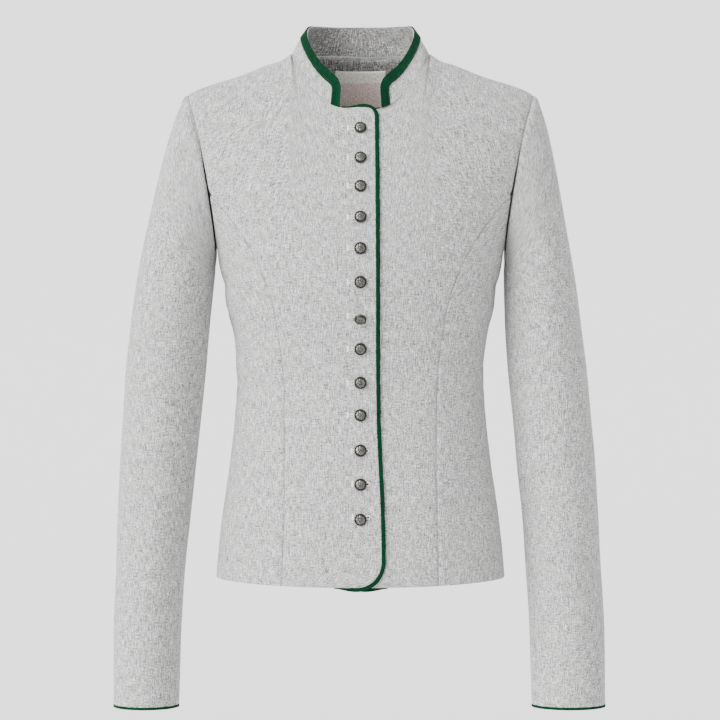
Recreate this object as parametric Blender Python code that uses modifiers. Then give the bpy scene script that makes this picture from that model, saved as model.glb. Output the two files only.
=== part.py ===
"""Short women's stand-collar jacket of felted wool, worn shape with nobody inside.

All sizes are in millimetres; the meshes are written in metres. +X is the wearer's
left, -Y the front and +Z up. The origin is on the mid-plane at the shoulder line.
Each cut piece is a wall of cloth between an outer and an inner grid of points.
"""
import math

import bpy
import numpy as np
from mathutils import Vector

MM = 0.001
CLOTH = 2.0
SEAM = 0.3
UNDERARM = -186.0
SHOULDER_TIP = -16.0
NECK_X = 72.0
ROUNDNESS = 2.3
FRONT, BACK = -1, 1
HEM_SIDE = -526.0
HEM_DIP = 5.0
SHOULDER_CURVE = {FRONT: 2.4, BACK: 2.8}
ARMHOLE_FULLNESS = 0.57

LAP_TOP = 1.4
LAP_UNDER = -1.0
LAP_FLAT = 26.0
LAP_FADE = 34.0

EDGE_CORNER = 26.0
NECK_CORNER = 9.0
NECK_EDGE = -35.0
EDGING_WIDTH = 4.2
EDGING_THICK = 2.4
EDGING_PROUD = 0.4
EDGING_ROUND = 0.6
NECK_EDGING_START = 2.5

COLLAR_HEIGHT = 30.0
BAND_WIDTH = 11.0
BAND_THICK = 1.2
BAND_CORNER = 9.0
BAND_INNER_CORNER = 6.0

SLEEVE_TOP = -208.0
CUFF = -662.0
CUFF_EDGING = 3.0
SLEEVE_SEAMS = (155.0, 228.0)

FACING_THICK = 1.0
LABEL_THICK = 0.5
BUTTON_SEAT = 0.5
BUTTON_REACH = 10.0
BAND_FOOT = 1.5
COLLAR_FOOT = 0.8

HIGH_ROWS = (1.28, 1.42, 1.56, 1.68, 1.785, 1.885, 1.94, 1.98, 2.0)
LABEL_ROWS = (1.56, 1.68, 1.785, 1.885)
FRONT_NECK_COLUMNS = 6
BACK_NECK_COLUMNS = 6
SHOULDER_COLUMNS = 4
SIDE_COLUMNS = 5
COLLAR_END_COLUMN = 2
HEM_EDGING_COLUMNS = 4
LABEL_COLUMNS = 2
SLEEVE_LEVELS = (-250, -300, -350, -400, -450, -500, -550, -605, CUFF + CUFF_EDGING)
CAP_STEPS = (0.0, 0.16, 0.34, 0.52, 0.7, 0.86, 1.0)

BUTTON_RADIUS = 6.5
BUTTON_HEIGHT = 4.5
BUTTON_SIDES = 12
BUTTON_LEVELS = (-57.3, -88.7, -118.5, -150.3, -182.4, -216.6, -253.7,
                 -285.1, -320.1, -353.9, -390.4, -425.3, -461.1)


class Table:
    """Rows of sizes under named columns, read along a smooth curve."""

    def __init__(self, columns, rows):
        self.columns = columns.split()
        self.rows = np.array(sorted(rows), float)

    def at(self, place, column):
        steps = self.rows[:, 0]
        values = self.rows[:, self.columns.index(column)]
        slopes = np.gradient(values, steps)
        place = np.clip(place, steps[0], steps[-1])
        low = np.clip(np.searchsorted(steps, place) - 1, 0, len(steps) - 2)
        span = steps[low + 1] - steps[low]
        t = (place - steps[low]) / span
        start = values[low] * (1 + 2 * t) + slopes[low] * span * t
        stop = values[low + 1] * (3 - 2 * t) - slopes[low + 1] * span * (1 - t)
        return start * (1 - t) ** 2 + stop * t ** 2


BODY = Table("level half_width front back", (
    (-531, 153.0, 106, 110),
    (-513, 151.6, 105, 109),
    (-462, 146.3, 101, 104),
    (-411, 138.9, 97, 97),
    (-360, 133.0, 93, 90),
    (-322, 130.4, 92, 86),
    (-284, 132.4, 98, 90),
    (-259, 136.2, 104, 95),
    (-233, 142.0, 109, 99),
    (-208, 147.6, 112, 102),
    (-186, 151.8, 112, 104),
    (-120, 151.8, 103, 106),
    (-60, 151.8, 92, 104),
    (0, 151.8, 84, 92),
    (30, 151.8, 81, 86),
    (72, 151.8, 80, 80)))

ARMHOLE = Table("level out", (
    (-186, 151.8), (-166, 152.8), (-138, 156.5), (-95, 164.0), (-60, 171.0),
    (-38, 177.0), (-16, 183.0), (30, 190.0), (80, 194.0)))

RIDGE = Table("out front back", (
    (0, 40, 72), (20, 39.5, 69), (40, 37, 58), (60, 32, 40), (72, 28, 28),
    (82, 21, 21), (100, 15, 15), (116, 8.5, 8.5), (133, 2, 2), (153, -4, -4),
    (172, -10.6, -10.6), (183, -16, -16), (205, -27, -27)))

NECKLINE = Table("out front back", (
    (0, -35, 30), (23, -35, 30.1), (34, -30, 30.2), (45, -20, 30.1),
    (56, -5, 29.8), (64, 9, 29.2), (69, 19.5, 28.6), (72, 28, 28)))

PRINCESS = {
    FRONT: Table("level out", (
        (-531, 81.0), (-506, 80.6), (-421, 79.0), (-354, 79.5), (-303, 81.2),
        (-269, 85.8), (-233, 92.5), (-209, 100.5), (-190, 108.0), (-170, 120.0),
        (-150, 136.0), (-135, 149.0), (-122, 161.0), (-90, 195.0))),
    BACK: Table("level out", (
        (-531, 74.0), (-421, 65.0), (-322, 59.0), (-250, 64.0), (-209, 74.0),
        (-186, 84.0), (-165, 97.0), (-145, 113.0), (-125, 134.0),
        (-105, 163.0), (-75, 200.0)))}

FRONT_EDGE = Table("level past_centre", (
    (-531, 22.0), (-480, 21.6), (-445, 20.6), (-412, 19.0), (-372, 17.2),
    (-320, 16.3), (-230, 16.0), (-120, 15.6), (-36, 14.9)))

COLLAR_TOP = Table("turn out back up", (
    (0, 0, 62, 62), (30, 27, 57, 61.5), (60, 46, 37, 60), (85, 55, 8, 56),
    (105, 56, -14, 45), (125, 50, -33, 28), (143, 38, -49, 10),
    (155, 26, -59, -1), (163, 19, -64, -8)))

SLEEVE = {
    -1: Table("level outer inner front back", (
        (-662, 260.2, 191.3, -58, 26), (-564, 260.2, 188.2, -55, 34),
        (-513, 258.1, 185.0, -53, 40), (-462, 257.0, 179.7, -52, 46),
        (-411, 254.9, 174.4, -52, 51), (-360, 251.8, 169.0, -53, 55),
        (-310, 248.6, 163.8, -55, 57), (-259, 243.3, 159.5, -57, 59),
        (-208, 236.9, 154.2, -58, 60))),
    1: Table("level outer inner front back", (
        (-662, 258.1, 180.7, -58, 26), (-564, 257.0, 177.6, -55, 34),
        (-513, 253.9, 174.4, -53, 40), (-462, 251.8, 171.2, -52, 46),
        (-411, 248.6, 165.9, -52, 51), (-360, 244.3, 161.6, -53, 55),
        (-310, 240.0, 156.4, -55, 57), (-259, 233.7, 153.0, -57, 59),
        (-208, 227.5, 151.8, -58, 60)))}

CAP_PULL = {
    "start": {"top": (55, 0, -60), "side": (42, -20, -62), "foot": (6, 0, -22)},
    "end": {"top": (40, 0, -190), "side": (22, -5, -125), "foot": (2, 0, -22)}}


def power(value, exponent):
    return np.sign(value) * np.abs(value) ** exponent


def smooth_step(value):
    t = np.clip(value, 0.0, 1.0)
    return t * t * (3 - 2 * t)


def unit(vectors):
    return vectors / np.linalg.norm(vectors, axis=-1, keepdims=True)


def spread(start, stop, count):
    return list(np.linspace(start, stop, count + 1))


def side_name(face):
    return "front" if face == FRONT else "back"


def fullness(level):
    """How far round the armhole's edge lies, as a share of the body's depth."""
    fall = np.clip((SHOULDER_TIP - level) / (SHOULDER_TIP - UNDERARM), 0.0, 1.0)
    return ARMHOLE_FULLNESS * np.sqrt(1 - fall ** 3)


def body_width(level):
    """Half width of the ring that the level's section belongs to."""
    edge = np.maximum(1 - fullness(level) ** ROUNDNESS, 0.05)
    above = ARMHOLE.at(level, "out") / edge ** (1 / ROUNDNESS)
    return np.where(level > UNDERARM, above, BODY.at(level, "half_width"))


def armhole_turn(level):
    share = np.clip(ARMHOLE.at(level, "out") / body_width(level), 0.0, 1.0)
    turn = np.arcsin(share ** (ROUNDNESS / 2))
    return np.where(level > UNDERARM, turn, math.pi / 2)


def across_at(level, out):
    """Share of the way from the centre to the side for a point that far out."""
    share = np.clip(np.abs(out) / body_width(level), 0.0, 1.0)
    return np.sign(out) * np.arcsin(share ** (ROUNDNESS / 2)) / armhole_turn(level)


def top_level(face, out):
    """Top edge of the body: the neckline inside the neck point, else the ridge."""
    column = side_name(face)
    out = np.abs(out)
    return np.where(out < NECK_X, NECKLINE.at(out, column), RIDGE.at(out, column))


def body_point(face, across, row):
    """Point of the body's outer face. Row 0 is the hem, 1 the underarm, 2 the top."""
    across, row = np.broadcast_arrays(np.asarray(across, float), np.asarray(row, float))
    column = side_name(face)
    curve = SHOULDER_CURVE[face]
    low = np.clip(row, 0.0, 1.0)
    high = np.clip(row - 1.0, 0.0, 1.0)
    dip = HEM_DIP * np.cos(np.clip(across, -1, 1) * math.pi / 2) ** 2 if face == FRONT else 0.0
    hem = HEM_SIDE - dip
    level = hem + (UNDERARM - hem) * low
    top = np.zeros_like(level)
    for _ in range(14):
        out = body_width(level) * power(np.sin(across * armhole_turn(level)), 2 / ROUNDNESS)
        ridge = RIDGE.at(np.abs(out), column)
        top = top_level(face, out)
        reach = np.clip((ridge - top) / (ridge - UNDERARM), 0.0, 1.0)
        turn_top = np.arccos((1 - reach) ** (curve / 2))
        turn = turn_top + (math.pi / 2 - turn_top) * (1 - high)
        lifted = ridge - (1 - np.cos(turn) ** (2 / curve)) * (ridge - UNDERARM)
        level = np.where(row > 1.0, lifted, level)
    swell = np.where(row > 1.0, np.sin(turn) ** (2 / curve), 1.0)
    depth = BODY.at(level, column) * power(np.cos(across * armhole_turn(level)), 2 / ROUNDNESS)
    return np.stack([out, face * depth * swell, level], axis=-1)


def body_normal(face, across, row):
    step = 0.004
    across, row = np.broadcast_arrays(np.asarray(across, float), np.asarray(row, float))
    along = body_point(face, across + step, row) - body_point(face, across - step, row)
    up = (body_point(face, across, np.minimum(row + step, 2.0))
          - body_point(face, across, np.maximum(row - step, 0.0)))
    return unit(np.cross(along, up) * -face)


def surface_depth(face, out, level):
    """The body's y for a place given by how far out and how high it lies."""
    column = side_name(face)
    curve = SHOULDER_CURVE[face]
    ridge = RIDGE.at(np.abs(out), column)
    reach = np.clip((ridge - level) / (ridge - UNDERARM), 0.0, 1.0)
    swell = (1 - (1 - reach) ** curve) ** (1 / curve)
    share = np.clip(np.abs(out) / body_width(level), 0.0, 1.0)
    return face * BODY.at(level, column) * (1 - share ** ROUNDNESS) ** (1 / ROUNDNESS) * swell


def lap_offset(side, out):
    """The wearer's right front lies on the left one; both level out further round."""
    height = LAP_TOP if side < 0 else LAP_UNDER
    return height * (1 - smooth_step((out - LAP_FLAT) / LAP_FADE))


def seam_across(face, row):
    """Where the princess seam crosses each row, 1 where it has reached the armhole."""
    across = np.full(np.shape(row), 0.6)
    for _ in range(12):
        level = body_point(face, across, row)[..., 2]
        across = np.minimum(across_at(level, PRINCESS[face].at(level, "out")), 1.0)
    return across


def meeting_row(face):
    """Row at which the princess seam runs into the armhole."""
    low, high = 1.0, 1.9
    for _ in range(30):
        middle = (low + high) / 2
        level = body_point(face, 1.0, middle)[..., 2]
        if PRINCESS[face].at(level, "out") < ARMHOLE.at(level, "out"):
            low = middle
        else:
            high = middle
    return low


def neck_across():
    level = float(RIDGE.at(NECK_X, "front"))
    return float(across_at(level, NECK_X))


def edge_out(level, hem):
    """How far the wool reaches past the centre, with round corners at hem and neck."""
    reach = FRONT_EDGE.at(level, "past_centre")
    into_hem = np.clip((hem + EDGE_CORNER - level) / EDGE_CORNER, 0.0, 1.0)
    into_neck = np.clip((level - NECK_EDGE + NECK_CORNER) / NECK_CORNER, 0.0, 1.0)
    reach = reach - EDGE_CORNER * (1 - np.sqrt(1 - into_hem ** 2))
    return reach - NECK_CORNER * (1 - np.sqrt(1 - into_neck ** 2))


def edge_across(row):
    """The front edge as an across value for each row, negative past the centre."""
    hem = HEM_SIDE - HEM_DIP
    across = np.full(np.shape(row), -0.08)
    for _ in range(6):
        level = body_point(FRONT, across, row)[..., 2]
        across = across_at(level, -edge_out(level, hem))
    return across


def draw_back(points, normals, beside, amount=SEAM / 2):
    """Draw a sewn edge back from its seam line, square to it and towards the cloth."""
    away = unit(np.cross(np.gradient(points, axis=0), normals))
    away *= np.sign(np.sum(away * (beside - points), axis=-1, keepdims=True))
    return points + away * amount


def draw_back_sides(grid, normals, first=True, last=True):
    if first:
        grid[:, 0] = draw_back(grid[:, 0], normals[:, 0], grid[:, 1])
    if last:
        grid[:, -1] = draw_back(grid[:, -1], normals[:, -1], grid[:, -2])


def draw_back_top(grid, normals):
    grid[-1] = draw_back(grid[-1], normals[-1], grid[-2])


def mirror(points, side):
    return points * np.array([side, 1.0, 1.0])


def make_object(name, vertices, faces, material, collection):
    mesh = bpy.data.meshes.new(name)
    mesh.from_pydata([tuple(point) for point in np.asarray(vertices) * MM], [], faces)
    mesh.materials.append(material)
    mesh.shade_smooth()
    mesh.set_sharp_from_angle(angle=math.radians(40))
    item = bpy.data.objects.new(name, mesh)
    collection.objects.link(item)
    return item


def wall_faces(rows, columns):
    """Faces of a wall whose outer grid comes first, then the inner one."""
    count = rows * columns

    def outer(r, c):
        return r * columns + c

    def inner(r, c):
        return count + r * columns + c

    faces = []
    for r in range(rows - 1):
        for c in range(columns - 1):
            faces.append((outer(r, c), outer(r, c + 1), outer(r + 1, c + 1), outer(r + 1, c)))
            faces.append((inner(r, c), inner(r + 1, c), inner(r + 1, c + 1), inner(r, c + 1)))
    for c in range(columns - 1):
        faces.append((outer(0, c + 1), outer(0, c), inner(0, c), inner(0, c + 1)))
        last = rows - 1
        faces.append((outer(last, c), outer(last, c + 1), inner(last, c + 1), inner(last, c)))
    for r in range(rows - 1):
        faces.append((outer(r, 0), outer(r + 1, 0), inner(r + 1, 0), inner(r, 0)))
        last = columns - 1
        faces.append((outer(r + 1, last), outer(r, last), inner(r, last), inner(r + 1, last)))
    return faces


def make_wall(name, outer, normals, thickness, material, collection, flip=False):
    rows, columns = outer.shape[:2]
    inner = outer - normals * thickness
    vertices = np.concatenate([outer.reshape(-1, 3), inner.reshape(-1, 3)])
    faces = wall_faces(rows, columns)
    if flip:
        faces = [face[::-1] for face in faces]
    return make_object(name, vertices, faces, material, collection)


def make_ring(name, sections, material, collection, closed):
    """A strip with the same section all along, closed or with capped ends."""
    count, sides = sections.shape[:2]
    faces = []
    for k in range(count if closed else count - 1):
        ahead = (k + 1) % count
        for s in range(sides):
            turn = (s + 1) % sides
            faces.append((k * sides + s, k * sides + turn, ahead * sides + turn, ahead * sides + s))
    if not closed:
        faces.append(tuple(range(sides))[::-1])
        faces.append(tuple((count - 1) * sides + s for s in range(sides)))
    return make_object(name, sections.reshape(-1, 3), faces, material, collection)


def panel_rows(face):
    """Rows that all panels of a face share, and the place of the seam's meeting row."""
    length = UNDERARM - HEM_SIDE + HEM_DIP
    low = [EDGE_CORNER * (1 - math.cos(math.radians(turn))) / length for turn in (0, 20, 42, 65)]
    low += spread(EDGE_CORNER / length, 1.0, 10)
    meet = meeting_row(face)
    middle = [1.005, 1.018, 1.045] + [1 + (meet - 1) * share for share in (0.32, 0.6, 0.82, 0.96)]
    high = [row for row in HIGH_ROWS if row > meet + 0.04]
    return np.array(low + middle + [meet] + high), len(low + middle)


def front_grid(side):
    """Outer points and normals of a front's centre panel, before its seams are drawn back."""
    rows, meeting = panel_rows(FRONT)
    start = edge_across(rows)
    stop = np.where(np.arange(len(rows)) < meeting, seam_across(FRONT, rows), 1.0)
    neck = (neck_across() - start[-1]) / (1 - start[-1])
    columns = np.array(spread(0.0, neck, FRONT_NECK_COLUMNS) + spread(neck, 1.0, SHOULDER_COLUMNS)[1:])
    across = start[:, None] + (stop - start)[:, None] * columns[None, :]
    normals = body_normal(FRONT, across, rows[:, None])
    outer = body_point(FRONT, across, rows[:, None])
    return outer + normals * lap_offset(side, outer[..., 0])[..., None], normals


def front_centre(name, side, material, collection):
    outer, normals = front_grid(side)
    draw_back_sides(outer, normals, first=False)
    draw_back_top(outer[:, FRONT_NECK_COLUMNS:], normals[:, FRONT_NECK_COLUMNS:])
    make_wall(name, mirror(outer, side), mirror(normals, side), CLOTH, material, collection, side < 0)


def side_panel(name, face, side, material, collection):
    rows, meeting = panel_rows(face)
    rows = rows[:meeting]
    start = seam_across(face, rows)
    columns = np.array(spread(0.0, 1.0, SIDE_COLUMNS))
    across = start[:, None] + (1 - start)[:, None] * columns[None, :]
    outer = body_point(face, across, rows[:, None])
    normals = body_normal(face, across, rows[:, None])
    if face == FRONT:
        outer = outer + normals * lap_offset(side, outer[..., 0])[..., None]
    draw_back_sides(outer, normals)
    flip = (side < 0) == (face == FRONT)
    make_wall(name, mirror(outer, side), mirror(normals, side), CLOTH, material, collection, flip)


def back_columns():
    half = spread(0.0, neck_across(), BACK_NECK_COLUMNS) + spread(neck_across(), 1.0, SHOULDER_COLUMNS)[1:]
    return np.array([-share for share in half[:0:-1]] + half)


def back_centre(name, material, collection):
    rows, meeting = panel_rows(BACK)
    stop = np.where(np.arange(len(rows)) < meeting, seam_across(BACK, rows), 1.0)
    across = stop[:, None] * back_columns()[None, :]
    outer = body_point(BACK, across, rows[:, None])
    normals = body_normal(BACK, across, rows[:, None])
    draw_back_sides(outer, normals)
    shoulder = SHOULDER_COLUMNS + 1
    draw_back_top(outer[:, :shoulder], normals[:, :shoulder])
    draw_back_top(outer[:, -shoulder:], normals[:, -shoulder:])
    make_wall(name, outer, normals, CLOTH, material, collection, True)


def back_patch(name, rows, columns, depth, thickness, material, collection):
    """A piece on the inside of the back, on the same rows and columns as the back."""
    middle = BACK_NECK_COLUMNS + SHOULDER_COLUMNS
    across = back_columns()[middle - columns:middle + columns + 1]
    rows = np.array(rows)[:, None]
    normals = body_normal(BACK, across, rows)
    points = body_point(BACK, across, rows) - normals * depth
    make_wall(name, points, normals, thickness, material, collection, True)


def armhole_turns(face):
    """Turns round the armhole at which the body's panels have their edge points."""
    rows = panel_rows(face)[0]
    rows = np.append(rows[(rows >= 1.0) & (rows < 1.97)], 2.0)
    level = body_point(face, 1.0, rows)[..., 2]
    return np.arccos(np.clip(1 - 2 * (SHOULDER_TIP - level) / (SHOULDER_TIP - UNDERARM), -1, 1))


def armhole_loop(turns):
    """Points and outward normals of the body's edge at each turn round the armhole."""
    fall = (1 - np.cos(turns)) / 2
    level = SHOULDER_TIP - (SHOULDER_TIP - UNDERARM) * fall
    points, normals = np.zeros((len(turns), 3)), np.zeros((len(turns), 3))
    for face in (FRONT, BACK):
        low, high = np.full(len(turns), 1.0), np.full(len(turns), 2.0)
        for _ in range(24):
            middle = (low + high) / 2
            below = body_point(face, 1.0, middle)[..., 2] < level
            low, high = np.where(below, middle, low), np.where(below, high, middle)
        chosen = (np.sin(turns) >= 0) == (face == FRONT)
        points[chosen] = body_point(face, 1.0, low)[chosen]
        normals[chosen] = body_normal(face, 1.0, low)[chosen]
    return points, normals


def cap_pull(which, turns):
    top, side, foot = (np.array(CAP_PULL[which][key], float) for key in ("top", "side", "foot"))
    middle = (top + foot) / 2
    first = (middle + side * np.array([1, 0, 1])) / 2
    swing = (top - foot) / 2
    second = (middle - side * np.array([1, 0, 1])) / 2
    pull = (first[None, :] + swing[None, :] * np.cos(turns)[:, None]
            + second[None, :] * np.cos(2 * turns)[:, None])
    pull[:, 1] = side[1] * np.sin(turns)
    return pull


def sleeve_ring(side, turns, level):
    table = SLEEVE[side]
    outer, inner = table.at(level, "outer"), table.at(level, "inner")
    front, back = table.at(level, "front"), table.at(level, "back")
    out = (outer + inner) / 2 + (outer - inner) / 2 * np.cos(turns)
    deep = (front + back) / 2 + (front - back) / 2 * np.sin(turns)
    return np.stack([out, deep, level + 0 * out], axis=-1)


def sleeve_grid(side, turns):
    """Grid from the cap's edge to the cuff: rows down the sleeve, columns round it."""
    loop, body_side = armhole_loop(turns)
    loop = loop + np.array([SEAM / 2, 0.0, 0.0])
    ring = sleeve_ring(side, turns, SLEEVE_TOP)
    start, stop = cap_pull("start", turns), cap_pull("end", turns)
    rows = []
    for t in CAP_STEPS:
        rows.append(loop * (1 + 2 * t) * (1 - t) ** 2 + start * t * (1 - t) ** 2
                    + ring * (3 - 2 * t) * t ** 2 - stop * (1 - t) * t ** 2)
    rows += [sleeve_ring(side, turns, level) for level in SLEEVE_LEVELS]
    return np.array(rows), body_side


def sleeve_turns():
    """Turns of the upper sleeve, from the back seam over the top, and of the under sleeve."""
    front = np.sort(armhole_turns(FRONT))
    back = np.sort(2 * math.pi - armhole_turns(BACK))
    first = front[np.argmin(np.abs(front - math.radians(SLEEVE_SEAMS[0])))]
    last = back[np.argmin(np.abs(back - math.radians(SLEEVE_SEAMS[1])))]
    upper = np.concatenate([back[back >= last][:-1] - 2 * math.pi, front[front <= first]])
    under = np.concatenate([front[front >= first], back[back <= last][1:]])
    return upper, under


def sleeve_panel(name, side, turns, material, collection):
    grid, body_side = sleeve_grid(side, turns)
    ahead, _ = sleeve_grid(side, turns + 0.01)
    behind, _ = sleeve_grid(side, turns - 0.01)
    normals = unit(np.cross(ahead - behind, np.gradient(grid, axis=0)))
    weight = smooth_step(1.6 * np.cos(turns))[:, None]
    normals[0] = unit(normals[0] * (1 - weight) + body_side * weight)
    draw_back_sides(grid, normals)
    make_wall(name, mirror(grid, side), mirror(normals, side), CLOTH, material, collection, side < 0)


def cuff_edging(name, side, material, collection):
    turns = np.array(spread(0.0, 2 * math.pi, 28)[:-1])
    outer = sleeve_ring(side, turns, CUFF)
    away = unit(np.stack([np.cos(turns), -np.sin(turns), 0 * turns], axis=-1))
    corners = ((0.3, 0.0), (0.3, CUFF_EDGING - SEAM), (-CLOTH, CUFF_EDGING - SEAM), (-CLOTH, 0.0))
    sections = [[point + way * out + np.array([0, 0, up]) for out, up in corners]
                for point, way in zip(outer, away)]
    sections = mirror(np.array(sections), side)
    if side < 0:
        sections = sections[:, ::-1]
    make_ring(name, sections, material, collection, True)


def collar_foot(turn):
    """The neckline under the collar; turn 0 is the back, 90 degrees the neck point."""
    angle = np.radians(np.abs(turn))
    out = NECK_X * np.sin(angle)
    behind = np.abs(turn) <= 90
    level = np.where(behind, NECKLINE.at(out, "back"), NECKLINE.at(out, "front"))
    deep = np.where(behind, surface_depth(BACK, out, level), surface_depth(FRONT, out, level))
    return np.stack([np.sign(turn) * out, deep, level], axis=-1)


def collar_point(turn, rise):
    """Point of the collar's outer face; rise is the height up the stand from 0 to 1."""
    turn, rise = np.broadcast_arrays(np.asarray(turn, float), np.asarray(rise, float))
    size = np.abs(turn)
    top = np.stack([np.sign(turn) * COLLAR_TOP.at(size, "out"), COLLAR_TOP.at(size, "back"),
                    COLLAR_TOP.at(size, "up")], axis=-1)
    foot = collar_foot(turn)
    swell = (1.2 * np.sin(math.pi * rise))[..., None]
    away = unit((top + foot) * np.array([1.0, 1.0, 0.0]) + 1e-9)
    return foot + (top - foot) * rise[..., None] + away * swell


def collar_normal(turn, rise):
    along = collar_point(turn + 0.5, rise) - collar_point(turn - 0.5, rise)
    up = collar_point(turn, rise + 0.01) - collar_point(turn, rise - 0.01)
    return unit(np.cross(up, along))


def collar_turns():
    """Turns of the collar's columns, over the edge points of the necklines."""
    outer, _ = front_grid(1)
    front = np.degrees(np.arcsin(outer[-1, COLLAR_END_COLUMN:FRONT_NECK_COLUMNS, 0] / NECK_X))
    across = neck_across() * np.array(spread(0.0, 1.0, BACK_NECK_COLUMNS))
    back = np.degrees(np.arcsin(np.clip(body_point(BACK, across, 2.0)[:, 0] / NECK_X, 0.0, 1.0)))
    return np.concatenate([back, 180 - front[::-1]])


def collar_lengths():
    """Length round the collar from the centre back, for each turn."""
    turns = collar_turns()
    fine = np.linspace(0.0, turns[-1], 200)
    steps = np.linalg.norm(np.diff(collar_point(fine, 0.7), axis=0), axis=1)
    return fine, np.concatenate([[0.0], np.cumsum(steps)])


def collar_rise(length, full):
    """Height of the stand at a length from the centre back, round at its front."""
    into = np.clip((length - full + BAND_CORNER) / BAND_CORNER, 0.0, 1.0)
    return COLLAR_HEIGHT - BAND_CORNER * (1 - np.sqrt(1 - into ** 2))


def collar_columns():
    """Lengths of the collar's columns: over the neckline's points, then round its corner."""
    turns, lengths = collar_lengths()
    full = lengths[-1]
    columns = np.interp(collar_turns(), turns, lengths)
    corner = [full - BAND_CORNER * (1 - math.sin(math.radians(a))) for a in (0, 25, 50, 72, 90)]
    return np.concatenate([columns[columns < full - BAND_CORNER - 1], corner]), turns, lengths


def collar_stand(name, material, collection):
    half, turns, lengths = collar_columns()
    place = np.concatenate([-half[:0:-1], half])
    turn = np.sign(place) * np.interp(np.abs(place), lengths, turns)
    height = collar_rise(np.abs(place), half[-1]) / COLLAR_HEIGHT
    steps = np.array([COLLAR_FOOT / COLLAR_HEIGHT, 0.35, 0.7, 1.0])
    rise = steps[:, None] * height[None, :]
    outer = collar_point(turn[None, :], rise)
    normals = collar_normal(turn[None, :], rise)
    make_wall(name, outer, normals, CLOTH, material, collection, True)


def collar_band(name, material, collection):
    """Felt band round the top edge of the stand and down its two front ends."""
    half, turns, lengths = collar_columns()
    full = half[-1]
    edge, inside = [], []
    for length in half[half < full - BAND_WIDTH - BAND_INNER_CORNER]:
        edge.append((length, COLLAR_HEIGHT))
        inside.append((length, COLLAR_HEIGHT - BAND_WIDTH))
    for degrees in (0, 15, 30, 45, 60, 75, 90):
        angle = math.radians(degrees)
        edge.append((full - BAND_CORNER * (1 - math.sin(angle)),
                     COLLAR_HEIGHT - BAND_CORNER * (1 - math.cos(angle))))
        inside.append((full - BAND_WIDTH - BAND_INNER_CORNER * (1 - math.sin(angle)),
                       COLLAR_HEIGHT - BAND_WIDTH - BAND_INNER_CORNER * (1 - math.cos(angle))))
    edge_top, inside_top = edge[-1][1], inside[-1][1]
    for share in (0.5, 1.0):
        edge.append((full, edge_top + (BAND_FOOT - edge_top) * share))
        inside.append((full - BAND_WIDTH, inside_top + (BAND_FOOT - inside_top) * share))
    edge, inside = np.array(edge), np.array(inside)
    rows = np.array([edge + (inside - edge) * share for share in (0.0, 0.5, 1.0)])
    whole = np.concatenate([rows[:, :0:-1] * np.array([-1.0, 1.0]), rows], axis=1)
    turn = np.sign(whole[..., 0]) * np.interp(np.abs(whole[..., 0]), lengths, turns)
    rise = whole[..., 1] / COLLAR_HEIGHT
    normals = collar_normal(turn, rise)
    outer = collar_point(turn, rise) + normals * (SEAM + BAND_THICK)
    make_wall(name, outer, normals, BAND_THICK, material, collection, False)


def front_edging(name, side, material, collection):
    """Felt strip along the neckline, the front edge, its round corner and the hem."""
    outer, normals = front_grid(side)
    neck, hem = COLLAR_END_COLUMN, HEM_EDGING_COLUMNS
    path = np.concatenate([outer[-1, neck:0:-1], outer[::-1, 0], outer[0, 1:hem + 1]])
    facing = np.concatenate([normals[-1, neck:0:-1], normals[::-1, 0], normals[0, 1:hem + 1]])
    path[0] += unit(path[1] - path[0]) * NECK_EDGING_START
    share = np.ones(len(path))
    share[:neck + 2] = np.linspace(0.35, 0.6, neck + 2)
    share[-hem - 1:] = np.linspace(1.0, 0.3, hem + 1)
    away = unit(np.cross(np.gradient(path, axis=0), facing))
    top = EDGING_PROUD if side < 0 else 0.0
    foot = top - EDGING_THICK
    sections = []
    for point, way, normal, wide in zip(path, away, facing, EDGING_WIDTH * share):
        shoulder = wide - EDGING_ROUND
        corners = ((SEAM, top), (shoulder, top), (wide, (top + foot) / 2), (shoulder, foot), (SEAM, foot))
        sections.append([point + way * reach + normal * height for reach, height in corners])
    sections = mirror(np.array(sections), side)
    if side < 0:
        sections = sections[:, ::-1]
    make_ring(name, sections, material, collection, False)


def button_mesh(material):
    """Domed button: a profile that the Screw modifier turns."""
    mesh = bpy.data.meshes.new("button")
    profile = ((0.0, 1.0), (0.62, 0.82), (1.0, 0.3), (0.88, 0.0), (0.0, 0.0))
    points = [(BUTTON_RADIUS * out * MM, 0.0, BUTTON_HEIGHT * up * MM) for out, up in profile]
    mesh.from_pydata(points, [(k, k + 1) for k in range(len(points) - 1)], [])
    mesh.materials.append(material)
    return mesh


def place_buttons(material, collection):
    mesh = button_mesh(material)
    for number, level in enumerate(BUTTON_LEVELS, 1):
        item = bpy.data.objects.new(f"button_{number:02d}", mesh)
        collection.objects.link(item)
        screw = item.modifiers.new("turn", "SCREW")
        screw.axis = "Z"
        screw.steps = BUTTON_SIDES
        screw.render_steps = BUTTON_SIDES
        screw.use_merge_vertices = True
        screw.merge_threshold = 0.00001
        step = 4.0
        slope = (surface_depth(FRONT, 0.0, level + step) - surface_depth(FRONT, 0.0, level - step)) / (2 * step)
        normal = Vector((0.0, -1.0, float(slope))).normalized()
        foot, low, high = (Vector((0.0, float(surface_depth(FRONT, 0.0, level + reach)), level + reach))
                           for reach in (0.0, -BUTTON_REACH, BUTTON_REACH))
        rise = max(0.0, (low - foot).dot(normal), (high - foot).dot(normal))
        place = foot + normal * (LAP_TOP + BUTTON_SEAT + rise)
        item.location = place * MM
        item.rotation_mode = "QUATERNION"
        item.rotation_quaternion = normal.to_track_quat("Z", "Y")


def make_material(name, colour, roughness, metallic=0.0):
    material = bpy.data.materials.new(name)
    material.use_nodes = True
    shader = material.node_tree.nodes["Principled BSDF"]
    shader.inputs["Base Color"].default_value = (*colour, 1.0)
    shader.inputs["Roughness"].default_value = roughness
    shader.inputs["Metallic"].default_value = metallic
    return material


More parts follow.
